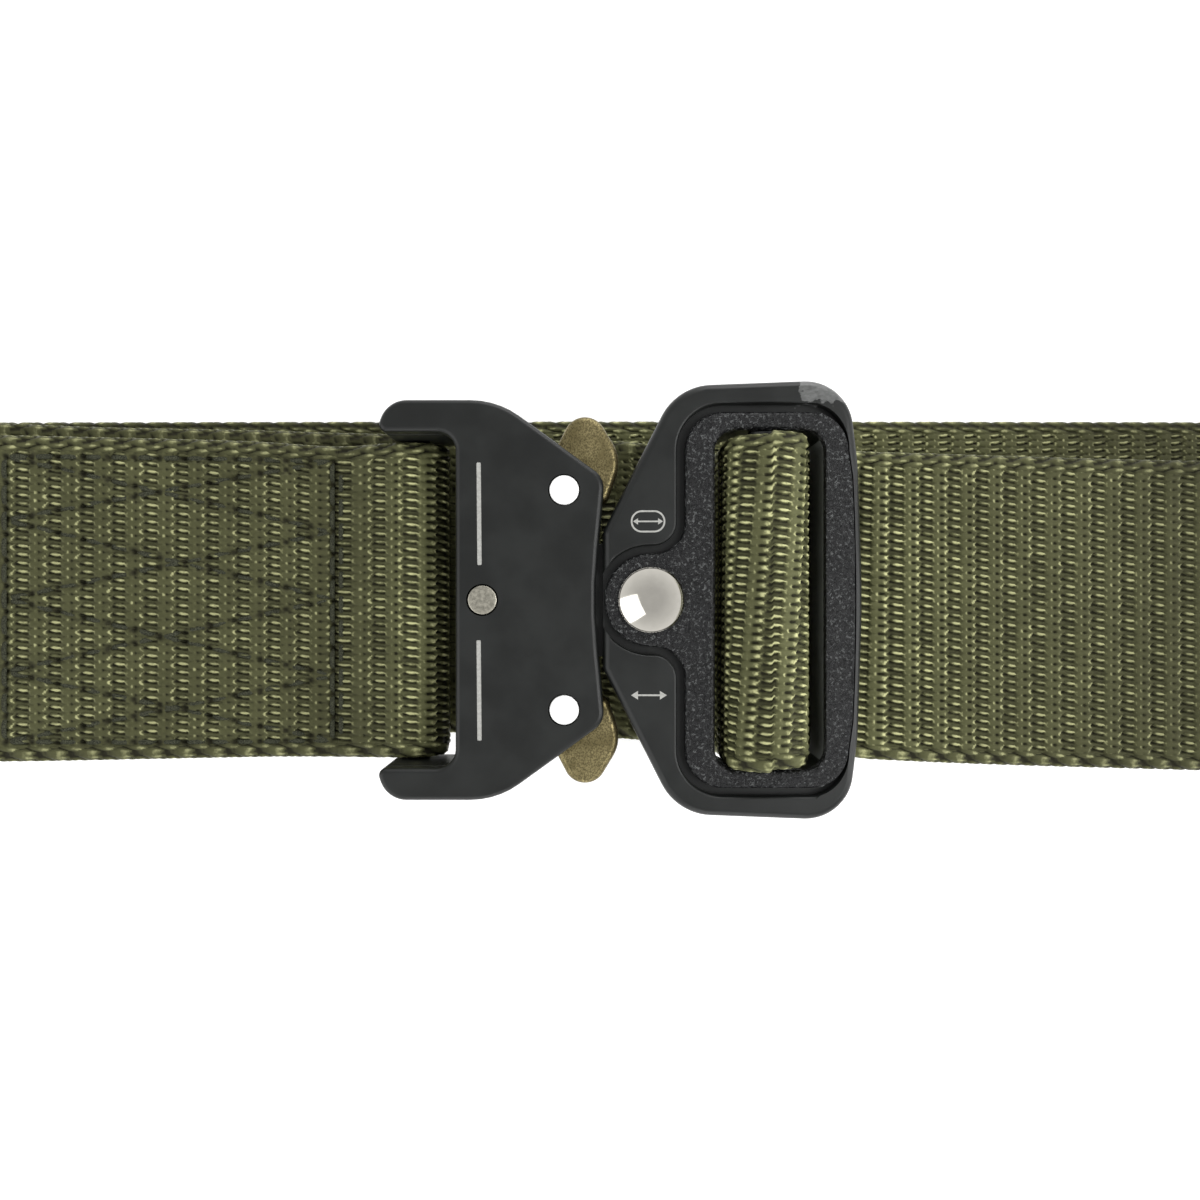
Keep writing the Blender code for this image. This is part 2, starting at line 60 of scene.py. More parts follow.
Item = bpy.types.Object
Socket = bpy.types.NodeSocket
Outline = list[tuple[float, float]]
Colour = tuple[float, float, float]
Relief = tuple[np.ndarray, np.ndarray]  # height and tone at each point
EdgeTest = Callable[[Vector, Vector], bool]


def seen(pixel: float, height: float) -> float:
    """Place in mm, from the middle of the view, of a pixel whose surface lies at a height in mm."""
    return (pixel - CENTRE_PX) * (CAMERA_HEIGHT - height) / FOCAL_PX


def dimmed(colour: Colour, share: float) -> Colour:
    """A colour at a share of its strength."""
    return tuple(share * part for part in colour)


class Sketch:
    """A material's node tree, with short calls for the nodes that the finishes use."""

    def __init__(self, name: str) -> None:
        """Starts a material.

        Args:
            name: The material's name.
        """
        self.material = bpy.data.materials.new(name)
        self.material.use_nodes = True
        self.tree = self.material.node_tree
        self.shader = self.tree.nodes["Principled BSDF"]

    def feed(self, socket: Socket, value: object) -> None:
        """Links a socket to another's output, or sets its value."""
        if isinstance(value, bpy.types.NodeSocket):
            self.tree.links.new(value, socket)
        else:
            socket.default_value = value

    def add(self, kind: str, inputs: dict, output: int | str = 0, **settings: object) -> Socket:
        """Adds a node.

        Args:
            kind: The node's type.
            inputs: Value or linked socket for each input.
            output: Which output is returned.
            **settings: The node's own properties.

        Returns:
            The chosen output.
        """
        node = self.tree.nodes.new(kind)
        for name, value in settings.items():
            setattr(node, name, value)
        for key, value in inputs.items():
            self.feed(node.inputs[key], value)
        return node.outputs[output]

    def math(self, operation: str, first: object, second: object = 0.0, clamp: bool = False) -> Socket:
        """One sum on two values."""
        return self.add("ShaderNodeMath", {0: first, 1: second}, operation=operation, use_clamp=clamp)

    def span(self, value: object, low: float, high: float, start: float = 0.0, end: float = 1.0) -> Socket:
        """A value eased from one range into another."""
        inputs = {"Value": value, "From Min": low, "From Max": high, "To Min": start, "To Max": end}
        return self.add("ShaderNodeMapRange", inputs, interpolation_type="SMOOTHSTEP")

    def mix(self, share: object, first: object, second: object) -> Socket:
        """Blend of two colours."""
        first = (*first, 1.0) if isinstance(first, tuple) else first
        second = (*second, 1.0) if isinstance(second, tuple) else second
        return self.add("ShaderNodeMix", {0: share, 6: first, 7: second}, 2, data_type="RGBA")

    def blend(self, share: object, first: object, second: object) -> Socket:
        """Blend of two values."""
        return self.add("ShaderNodeMix", {0: share, 2: first, 3: second}, data_type="FLOAT")

    def axes(self, vector: Socket) -> Sequence[Socket]:
        """A vector's three coordinates."""
        parts = self.tree.nodes.new("ShaderNodeSeparateXYZ")
        self.feed(parts.inputs[0], vector)
        return parts.outputs

    def place(self) -> Socket:
        """The point on the object, in metres."""
        return self.add("ShaderNodeTexCoord", {}, "Object")

    def stretch(self, vector: Socket, scale: Colour) -> Socket:
        """A vector scaled along each axis."""
        return self.add("ShaderNodeMapping", {"Vector": vector, "Scale": scale})

    def noise(
        self, size: float, detail: float = 2.0, vector: Socket | None = None, roughness: float = 0.5
    ) -> Socket:
        """Noise whose grains are about a size in mm across."""
        inputs = {"Scale": 1 / (size * MM), "Detail": detail, "Roughness": roughness}
        inputs["Vector"] = vector or self.place()
        return self.add("ShaderNodeTexNoise", inputs)

    def attribute(self, name: str, output: str = "Fac") -> Socket:
        """A value kept in the mesh."""
        return self.add("ShaderNodeAttribute", {}, output, attribute_name=name)

    def bump(
        self, height: object, distance: float, strength: float = 1.0, normal: Socket | None = None
    ) -> Socket:
        """Relief of a height map, its full height in mm."""
        inputs = {"Height": height, "Distance": distance * MM, "Strength": strength}
        if normal:
            inputs["Normal"] = normal
        return self.add("ShaderNodeBump", inputs)

    def coat(self, **sockets: object) -> None:
        """Sets the shader's sockets, named with underscores for spaces."""
        for name, value in sockets.items():
            value = (*value, 1.0) if isinstance(value, tuple) and len(value) == 3 else value
            self.feed(self.shader.inputs[name.replace("_", " ")], value)


@dataclass(frozen=True)
class Finish:
    """A surface finish: its material's name and the record's slot that it belongs to."""

    name: str
    slot: str | None = None

    def lay(self, sketch: Sketch) -> None:
        """Builds the finish's nodes."""
        raise NotImplementedError

    def material(self) -> bpy.types.Material:
        """The finish's material, made on first use."""
        made = bpy.data.materials.get(self.name)
        if made is None:
            sketch = Sketch(self.name)
            self.lay(sketch)
            made = sketch.material
        return made


@dataclass(frozen=True)
class OliveWebbing(Finish):
    """Olive nylon webbing: floats brightened by painted highlights over gaps darkened by painted shade, with
    a fine grain of filaments.
    """

    # painted_highlight is the colour of painted highlights on the floats, gap is painted shade between the
    # yarns, middle is the dye's own olive.
    painted_highlight: Colour = (0.310, 0.312, 0.160)
    middle: Colour = (0.052, 0.054, 0.025)
    gap: Colour = (0.006, 0.006, 0.004)
    gloss: Colour = (1.0, 0.95, 0.60)

    def lay(self, sketch: Sketch) -> None:
        """Takes the tone, which carries painted light and shade, from the mesh where it is woven, and from a
        pattern along the strap elsewhere.
        """
        place = sketch.axes(sketch.attribute("lay", "Vector"))
        woven = sketch.attribute("woven")
        drawn = self.drawn(sketch, place[0], place[1])
        tone = sketch.blend(woven, drawn, sketch.attribute("tone"))
        cloud = sketch.noise(9.0, 3.0)
        yarn = sketch.noise(0.45, 2.0)
        tone = sketch.math("MULTIPLY", tone, sketch.span(yarn, 0.25, 0.75, 0.86, 1.14))
        body = sketch.mix(sketch.span(tone, 0.02, 0.5), self.gap, self.middle)
        body = sketch.mix(sketch.span(tone, 0.52, 1.05), body, self.painted_highlight)
        # The mesh's shade value is painted light that brightens or dims the strap along its length; the cloud
        # is random dye.
        shade = sketch.math("MULTIPLY", sketch.span(cloud, 0.3, 0.7, 0.90, 1.10), sketch.attribute("shade"))
        tinted = sketch.add("ShaderNodeHueSaturation", {"Value": shade, "Color": body})
        filament = sketch.noise(0.12, 2.0, sketch.stretch(sketch.place(), (0.18, 1.0, 1.0)))
        fine = sketch.bump(filament, 0.03, 0.5)
        relief = sketch.math("MULTIPLY", drawn, sketch.math("SUBTRACT", 1.0, woven))
        sketch.coat(
            Base_Color=tinted, Roughness=sketch.span(filament, 0.2, 0.8, 0.46, 0.62),
            Specular_Tint=self.gloss, Specular_IOR_Level=0.22, Normal=sketch.bump(relief, 0.35, 1.0, fine),
        )

    @staticmethod
    def drawn(sketch: Sketch, along: Socket, across: Socket) -> Socket:
        """Tone of pads in one column and crossing floats in the next, with painted highlights on the lenses
        and at the pads' ends.
        """
        column = sketch.math("COSINE", sketch.math("MULTIPLY", along, math.tau))
        turn = sketch.math("MULTIPLY", across, math.tau)
        row = sketch.math("COSINE", turn)
        leaning = sketch.math("ADD", turn, sketch.math("MULTIPLY", along, 1.2))
        narrower = sketch.math("MULTIPLY", sketch.math("ADD", column, 1.0), -0.9)
        lens = sketch.math("ADD", sketch.math("COSINE", sketch.math("ADD", leaning, math.pi)), narrower)
        leaf = sketch.span(lens, -0.9, 0.8, 0.05, 0.85)
        pad = sketch.span(row, -1.0, -0.5, 0.30, 0.55)
        # Painted highlight at the pads' ends.
        hook_highlight = sketch.span(sketch.math("ABSOLUTE", sketch.math("ADD", column, 0.05)), 0.0, 0.22, 0.35, 0.0)
        share = sketch.span(column, -0.12, 0.12)
        return sketch.math("ADD", sketch.blend(share, leaf, pad), hook_highlight)


@dataclass(frozen=True)
class SewingThread(Finish):
    """Dark olive sewing thread."""

    dark: Colour = (0.010, 0.011, 0.006)
    light: Colour = (0.052, 0.055, 0.033)

    def lay(self, sketch: Sketch) -> None:
        """Fine ply lines over a dark thread."""
        ply = sketch.noise(0.14, 3.0)
        sketch.coat(
            Base_Color=sketch.mix(sketch.span(ply, 0.3, 0.7), self.dark, self.light), Roughness=0.7,
            Specular_IOR_Level=0.2, Normal=sketch.bump(ply, 0.12, 0.9),
        )


@dataclass(frozen=True)
class SatinPaint(Finish):
    """Satin black paint with a faint powder grain, and a patch where the paint has worn, its pale colour also
    a painted reflection.
    """

    dark: Colour = (0.0052, 0.0060, 0.0055)
    light: Colour = (0.0082, 0.0094, 0.0087)
    # Pale grey of the worn patch: bare metal, and also a painted reflection of the light on it, in streaks.
    wear_and_painted_light: Colour = (0.130, 0.133, 0.130)
    wear_and_sheen_box: tuple[float, float, float, float] | None = None  # low x, high x, low y, high y, in mm

    def lay(self, sketch: Sketch) -> None:
        """Grain in colour, gloss and relief, with the worn patch and its painted reflection over them."""
        grain = sketch.noise(0.10, 2.0)
        cloud = sketch.noise(5.0, 3.0)
        colour = sketch.mix(sketch.span(cloud, 0.3, 0.7), self.dark, self.light)
        uneven = sketch.span(grain, 0.3, 0.7, -0.04, 0.04)
        rough = sketch.math("ADD", uneven, sketch.span(cloud, 0.3, 0.7, 0.36, 0.44))
        if self.wear_and_sheen_box:
            share = self.worn(sketch)
            scratch = sketch.noise(0.35, 3.0, sketch.stretch(sketch.place(), (0.5, 1.0, 1.0)))
            bare_and_sheen = sketch.mix(sketch.span(scratch, 0.25, 0.75), self.wear_and_painted_light, dimmed(self.wear_and_painted_light, 0.55))
            colour = sketch.mix(share, colour, bare_and_sheen)
            rough = sketch.blend(share, rough, 0.30)
        sketch.coat(
            Base_Color=colour, Roughness=rough, Specular_IOR_Level=0.37,
            Normal=sketch.bump(grain, 0.012, 0.35),
        )

    def worn(self, sketch: Sketch) -> Socket:
        """Share of the worn patch, with its painted reflection, at a point, with a ragged border."""
        soft = 0.12  # mm from the patch's border to either end of its fade
        low_x, high_x, low_y, high_y = self.wear_and_sheen_box
        place = sketch.axes(sketch.place())
        ragged = sketch.math("MULTIPLY", sketch.math("SUBTRACT", sketch.noise(0.9, 4.0), 0.5), 2.6 * MM)
        share: Socket | None = None
        for axis, low, high in ((0, low_x, high_x), (1, low_y, high_y)):
            at = sketch.math("ADD", place[axis], ragged)
            inside = sketch.math(
                "MULTIPLY", sketch.span(at, (low - soft) * MM, (low + soft) * MM),
                sketch.span(at, (high - soft) * MM, (high + soft) * MM, 1.0, 0.0),
            )
            share = inside if share is None else sketch.math("MULTIPLY", share, inside)
        return share


@dataclass(frozen=True)
class TexturedPaint(Finish):
    """Black paint with a hammered grain, its sparkle painted on as glints."""

    dark: Colour = (0.0052, 0.0054, 0.0060)
    # The colour of the painted glints on the ridges.
    light: Colour = (0.096, 0.100, 0.100)

    def lay(self, sketch: Sketch) -> None:
        """Short worm-like ridges, lit here and there with painted glints, over a finer grain."""
        ridges = sketch.noise(0.60, 2.0, roughness=0.55)
        bent = sketch.math("ABSOLUTE", sketch.math("SUBTRACT", ridges, 0.5))
        ridge = sketch.span(bent, 0.0, 0.055, 1.0, 0.0)
        patch = sketch.span(sketch.noise(0.42, 1.0), 0.47, 0.57)
        grain = sketch.noise(0.13, 1.0)
        height = sketch.math("ADD", ridge, sketch.math("MULTIPLY", grain, 0.5))
        sketch.coat(
            Base_Color=sketch.mix(sketch.math("MULTIPLY", ridge, patch), self.dark, self.light),
            Roughness=sketch.span(grain, 0.3, 0.7, 0.26, 0.42), Specular_IOR_Level=0.31,
            Normal=sketch.bump(height, 0.11, 0.9),
        )


@dataclass(frozen=True)
class AntiqueBrass(Finish):
    """Antiqued brass: warm metal under dark specks."""

    bright: Colour = (0.34, 0.285, 0.140)
    dull: Colour = (0.16, 0.132, 0.060)
    speck: Colour = (0.050, 0.041, 0.020)

    def lay(self, sketch: Sketch) -> None:
        """Specks gathered in clouds over mottled metal."""
        cloud = sketch.noise(2.2, 3.0)
        grit = sketch.noise(0.17, 3.0, sketch.stretch(sketch.place(), (1.0, 0.75, 1.0)), 0.65)
        metal = sketch.mix(sketch.span(cloud, 0.3, 0.7), self.dull, self.bright)
        dark = sketch.span(sketch.math("ADD", grit, sketch.math("MULTIPLY", cloud, 0.18)), 0.54, 0.66)
        dark = sketch.math("MULTIPLY", dark, 0.70)
        sketch.coat(
            Base_Color=sketch.mix(dark, metal, self.speck), Metallic=0.9,
            Roughness=sketch.span(grit, 0.3, 0.7, 0.34, 0.56), Normal=sketch.bump(grit, 0.03, 0.6),
        )


@dataclass(frozen=True)
class BareMetal(Finish):
    """Plain metal, polished or brushed."""

    colour: Colour = (0.75, 0.74, 0.72)
    roughness: float = 0.1
    grain: float = 0.01  # depth of the grain in mm
    grain_size: float = 0.5
    mottle: float = 0.85  # how dark the marks are against the rest

    def lay(self, sketch: Sketch) -> None:
        """Soft marks in gloss and relief."""
        marks = sketch.noise(self.grain_size, 3.0)
        darker = dimmed(self.colour, self.mottle)
        sketch.coat(
            Base_Color=sketch.mix(sketch.span(marks, 0.3, 0.7), darker, self.colour), Metallic=1.0,
            Roughness=sketch.span(marks, 0.3, 0.7, self.roughness * 0.8, self.roughness * 1.2),
            Normal=sketch.bump(marks, self.grain, 0.5),
        )


@dataclass(frozen=True)
class SilverMark(Finish):
    """Light silver filling of the engraved marks."""

    colour: Colour = (0.40, 0.40, 0.375)

    def lay(self, sketch: Sketch) -> None:
        """Slightly uneven silver."""
        uneven = sketch.span(sketch.noise(0.3, 2.0), 0.3, 0.7)
        sketch.coat(
            Base_Color=sketch.mix(uneven, dimmed(self.colour, 0.8), self.colour), Metallic=0.15,
            Roughness=0.45,
        )


@dataclass(frozen=True)
class PaleFloor(Finish):
    """Plain pale surface that the belt lies on."""

    colour: Colour = (0.90, 0.90, 0.90)
    glow: float = 0.34

    def lay(self, sketch: Sketch) -> None:
        """Matt white, lit from within as a light table is."""
        sketch.coat(
            Base_Color=self.colour, Roughness=0.8, Specular_IOR_Level=0.2, Emission_Color=(1.0, 1.0, 1.0),
            Emission_Strength=self.glow,
        )


WEBBING = OliveWebbing("olive webbing", "webbing")
THREAD = SewingThread("sewing thread", "webbing")
PAINT = SatinPaint("satin black paint", "black_plate")
# Lighter paint for the slot's right wall: painted light where the real wall catches light.
LIT_WALL = SatinPaint("scuffed slot wall", "black_plate", (0.150, 0.158, 0.152), (0.20, 0.21, 0.205))
# The frame's paint, with a worn patch that also carries a painted reflection.
WORN_PAINT_WITH_SHEEN = SatinPaint("rubbed black paint", "black_plate", wear_and_sheen_box=(22.9, 28.4, 22.7, 26.0))
TEXTURED = TexturedPaint("textured black paint", "black_textured")
BRASS = AntiqueBrass("antique brass", "antique_brass")
POLISHED = BareMetal("polished steel", "polished_rivet", (0.76, 0.73, 0.66), 0.09, 0.004, 0.9, 0.96)
FLUSH = BareMetal("bright steel", "polished_rivet", (0.97, 0.97, 0.96), 0.75, 0.004, 0.4)
BRUSHED = BareMetal("brushed nickel", "brushed_rivet", (0.45, 0.43, 0.36), 0.34, 0.01, 0.35)
SILVER = SilverMark("silver filling", "black_plate")
FLOOR = PaleFloor("pale floor")


@dataclass(frozen=True)
class Editing:
    """Edit mode on one object, from the start of a with block to its end."""

    item: Item

    def __enter__(self) -> None:
        """Enters edit mode."""
        Bench.take(self.item)
        bpy.ops.object.mode_set(mode="EDIT")

    def __exit__(self, *error: object) -> None:
        """Leaves edit mode."""
        bpy.ops.object.mode_set(mode="OBJECT")


class Bench:
    """Blender's own modelling steps, each run on one object with everything else deselected."""

    SHARP = 40  # degrees between two faces, from which their edge may be rounded

    @staticmethod
    def take(item: Item) -> Item:
        """Selects one object alone and makes it active."""
        for other in bpy.context.selected_objects:
            other.select_set(False)
        item.select_set(True)
        bpy.context.view_layer.objects.active = item
        return item

    @staticmethod
    def drop() -> None:
        """Deselects everything."""
        for other in list(bpy.context.selected_objects):
            other.select_set(False)

    @staticmethod
    def choose(item: Item, kind: str, test: Callable[..., bool]) -> int:
        """Selects parts of the object in edit mode.

        Args:
            item: The object, already in edit mode.
            kind: VERT, EDGE or FACE.
            test: Says whether a part is taken.

        Returns:
            How many were taken.
        """
        bpy.ops.mesh.select_mode(type=kind)
        bpy.ops.mesh.select_all(action="DESELECT")
        shape = bmesh.from_edit_mesh(item.data)
        shape.normal_update()
        parts = {"VERT": shape.verts, "EDGE": shape.edges, "FACE": shape.faces}[kind]
        taken = [part for part in parts if test(part)]
        for part in taken:
            part.select = True
        shape.select_flush_mode()
        bmesh.update_edit_mesh(item.data)
        return len(taken)

    @staticmethod
    def extrude(height: float) -> None:
        """Draws the chosen faces out along Z by a height in mm."""
        bpy.ops.mesh.extrude_region_move(TRANSFORM_OT_translate={"value": (0, 0, height * MM)})

    @staticmethod
    def face_outwards() -> None:
        """Turns every face of the object in edit mode outwards."""
        bpy.ops.mesh.select_all(action="SELECT")
        bpy.ops.mesh.normals_make_consistent(inside=False)

    @staticmethod
    def made(name: str) -> Item:
        """The object that the last step made, given its name."""
        item = bpy.context.object
        item.name = item.data.name = name
        return item

    @classmethod
    def blank(cls, name: str, outline: Outline, low: float, high: float) -> Item:
        """A flat plate: a filled ring of corners, each taken to its place, then thickened.

        Args:
            name: The piece's name.
            outline: Its corners in mm, in order.
            low: Height of its underside in mm.
            high: Height of its top in mm.

        Returns:
            The plate.
        """
        cls.drop()
        bpy.ops.mesh.primitive_circle_add(
            vertices=len(outline), radius=5 * MM, fill_type="NGON", location=(0, 0, low * MM)
        )
        item = cls.made(name)
        with Editing(item):
            bpy.ops.mesh.select_mode(type="VERT")
            for index, (x, y) in enumerate(outline):
                shape = bmesh.from_edit_mesh(item.data)
                shape.verts.ensure_lookup_table()
                bpy.ops.mesh.select_all(action="DESELECT")
                corner = shape.verts[index]
                corner.select = True
                shape.select_flush_mode()
                bpy.ops.transform.translate(value=(x * MM - corner.co.x, y * MM - corner.co.y, 0))
            bpy.ops.mesh.select_all(action="SELECT")
            cls.extrude(high - low)
            cls.face_outwards()
        return cls.settle(item)

    @classmethod
    def settle(cls, item: Item) -> Item:
        """Puts the object's place into its mesh."""
        cls.take(item)
        bpy.ops.object.transform_apply(location=True, rotation=True, scale=True)
        return item

    @classmethod
    def post(
        cls, name: str, x: float, y: float, radius: float, low: float, high: float, sides: int = 64
    ) -> Item:
        """An upright cylinder, its sizes in mm."""
        cls.drop()
        bpy.ops.mesh.primitive_cylinder_add(
            vertices=sides, radius=radius * MM, depth=(high - low) * MM,
            location=(x * MM, y * MM, (low + high) / 2 * MM),
        )
        return cls.settle(cls.made(name))

    @classmethod
    def block(cls, name: str, low: Sequence[float], high: Sequence[float]) -> Item:
        """A box between two corners in mm."""
        cls.drop()
        centre = [(a + b) / 2 * MM for a, b in zip(low, high)]
        bpy.ops.mesh.primitive_cube_add(size=1, location=centre)
        item = cls.made(name)
        item.scale = [(b - a) * MM for a, b in zip(low, high)]
        return cls.settle(item)

    @classmethod
    def cut(cls, item: Item, tool: Item) -> None:
        """Cuts the object with another, and removes the other."""
        step = item.modifiers.new("difference", "BOOLEAN")
        step.operation = "DIFFERENCE"
        step.object = tool
        step.solver = "EXACT"
        cls.apply(item, step)
        bpy.data.objects.remove(tool)

    @classmethod
    def bore(
        cls, item: Item, x: float, y: float, radius: float, low: float, high: float, sides: int = 32
    ) -> None:
        """Cuts an upright hole that reaches 1 mm past two heights, its sizes in mm."""
        cls.cut(item, cls.post("hole", x, y, radius, low - 1, high + 1, sides))

    @classmethod
    def apply(cls, item: Item, step: bpy.types.Modifier) -> None:
        """Applies one modifier."""
        cls.take(item)
        bpy.ops.object.modifier_apply(modifier=step.name)

    @staticmethod
    def tidy(item: Item) -> None:
        """Merges doubled points and dissolves needless edges of flat faces."""
        with Editing(item):
            bpy.ops.mesh.select_all(action="SELECT")
            bpy.ops.mesh.remove_doubles(threshold=0.002 * MM)
            bpy.ops.mesh.dissolve_limited(angle_limit=math.radians(0.5))

    @classmethod
    def round_edges(cls, item: Item, width: float, segments: int, test: EdgeTest) -> None:
        """Rounds chosen sharp edges.

        Args:
            item: The object.
            width: Width of the rounding in mm.
            segments: Faces across it.
            test: Says from an edge's middle, in mm, and its wall's normal, whether it is rounded.
        """

        def chosen(edge: bmesh.types.BMEdge) -> bool:
            """Whether an edge is sharp and passes the test."""
            if len(edge.link_faces) != 2 or edge.calc_face_angle(0) < math.radians(cls.SHARP):
                return False
            middle = (edge.verts[0].co + edge.verts[1].co) / (2 * MM)
            wall = min(edge.link_faces, key=lambda face: abs(face.normal.z))
            return test(middle, wall.normal)

        with Editing(item):
            if cls.choose(item, "EDGE", chosen):
                bpy.ops.mesh.bevel(
                    offset=width * MM, segments=segments, profile=0.5, affect="EDGES", clamp_overlap=False
                )

    @classmethod
    def dress(
        cls, item: Item, finish: Finish, body: str = BELT, nodes: Sequence[str] = (), sharp: float = 40
    ) -> Item:
        """Gives a piece its smooth shading and finish, and rides it on its body.

        Args:
            item: The piece.
            finish: Its finish.
            body: The CAD body that it rides on.
            nodes: CAD nodes that it stands for.
            sharp: Angle in degrees over which an edge stays sharp.

        Returns:
            The piece.
        """
        cls.take(item)
        bpy.ops.object.shade_smooth_by_angle(angle=math.radians(sharp))
        flat = item.modifiers.new("flat faces kept flat", "WEIGHTED_NORMAL")
        flat.keep_sharp = True
        cls.apply(item, flat)
        item.data.materials.clear()
        item.data.materials.append(finish.material())
        return enter(item, finish, body, nodes)


def enter(item: Item, finish: Finish, body: str, nodes: Sequence[str]) -> Item:
    """Rides a finished piece on its body, hides the CAD nodes that it stands for, and logs its faces."""
    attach(item, body)
    if nodes:
        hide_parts(*nodes)
    LOG.info("%s: %d faces, on %s", item.name, len(item.data.polygons), body)
    return item


def arc(x: float, y: float, radius: float, start: float, end: float, steps: int) -> Outline:
    """Points on an arc about (x, y), from one angle to another in degrees."""
    angles = np.radians(np.linspace(start, end, steps + 1))
    return [(x + radius * math.cos(angle), y + radius * math.sin(angle)) for angle in angles]


def rounded(corners: Sequence[tuple], degrees_a_step: float = 7) -> Outline:
    """Outline of a closed polygon of (x, y, radius) corners, each rounded by an arc of its radius."""
    outline: Outline = []
    for index, (x, y, radius) in enumerate(corners):
        before = corners[index - 1]
        after = corners[(index + 1) % len(corners)]
        if not radius:
            outline.append((x, y))
            continue
        arriving = math.atan2(y - before[1], x - before[0])
        turn = math.atan2(after[1] - y, after[0] - x) - arriving
        turn = (turn + math.pi) % math.tau - math.pi
        side = math.copysign(1, turn)
        reach = radius * math.tan(abs(turn) / 2)
        centre_x = x - reach * math.cos(arriving) - side * radius * math.sin(arriving)
        centre_y = y - reach * math.sin(arriving) + side * radius * math.cos(arriving)
        start = math.degrees(arriving) - side * 90
        steps = max(3, round(abs(math.degrees(turn)) / degrees_a_step))
        outline += arc(centre_x, centre_y, radius, start, start + math.degrees(turn), steps)
    return outline


def mirrored(half: Sequence[tuple]) -> list[tuple]:
    """A closed outline from its half with y above zero, mirrored about the X axis."""
    return list(half) + [(x, -y, *rest) for x, y, *rest in reversed(half) if y]


def eased(knots: Sequence[tuple[float, float]], x: np.ndarray | float) -> np.ndarray:
    """Values at x of a smooth curve through (x, value) knots, level at both ends."""
    at, value = np.array(sorted(knots), float).T
    slope = np.zeros(len(at))
    slope[1:-1] = (value[2:] - value[:-2]) / (at[2:] - at[:-2])
    x = np.clip(np.asarray(x, float), at[0], at[-1])
    index = np.clip(np.searchsorted(at, x, side="left") - 1, 0, len(at) - 2)
    run = at[index + 1] - at[index]
    t = (x - at[index]) / run
    return (
        (2 * t**3 - 3 * t**2 + 1) * value[index]
        + (t**3 - 2 * t**2 + t) * slope[index] * run
        + (3 * t**2 - 2 * t**3) * value[index + 1]
        + (t**3 - t**2) * slope[index + 1] * run
    )


def curve(knots: Sequence[tuple[float, float]]) -> Callable[[np.ndarray], np.ndarray]:
    """The smooth curve through (x, value) knots, as a function of x."""
    return lambda x: eased(knots, x)


def bulged(wave: np.ndarray) -> np.ndarray:
    """A sine or cosine, filled out a little between its crests and its zeros."""
    return np.sign(wave) * np.abs(wave) ** 0.8


def ease(value: np.ndarray) -> np.ndarray:
    """A share from 0 to 1, eased at both ends."""
    value = np.clip(value, 0, 1)
    return value * value * (3 - 2 * value)


def bell(value: np.ndarray, width: float, power: int = 2) -> np.ndarray:
    """A share that is 1 at zero and falls away over a width."""
    return np.exp(-(np.abs(value / width) ** power))


def chance(column: np.ndarray, row: np.ndarray, seed: int) -> np.ndarray:
    """A share from 0 to 1 that differs from float to float, the same each time."""
    mixed = np.sin(column * 12.9898 + row * 78.233 + seed * 37.719) * 43758.5453
    return mixed - np.floor(mixed)


class Section(Enum):
    """Stretches of the strap, from its sewn end to its free end."""

    FLAP = "sewn flap"
    BAR_WRAP = "round the strap bar"
    FRONT_LEFT = "front, left of the buckle"
    LEFT_FOLD = "left fold"
    REAR = "rear half"
    RIGHT_FOLD = "right fold"
    FRONT_RIGHT = "front, right of the buckle"
    RISE = "up to the slide bar"
    SLIDE_WRAP = "over the slide bar"
    FALL = "down from the slide bar"
    TAIL = "free tail"


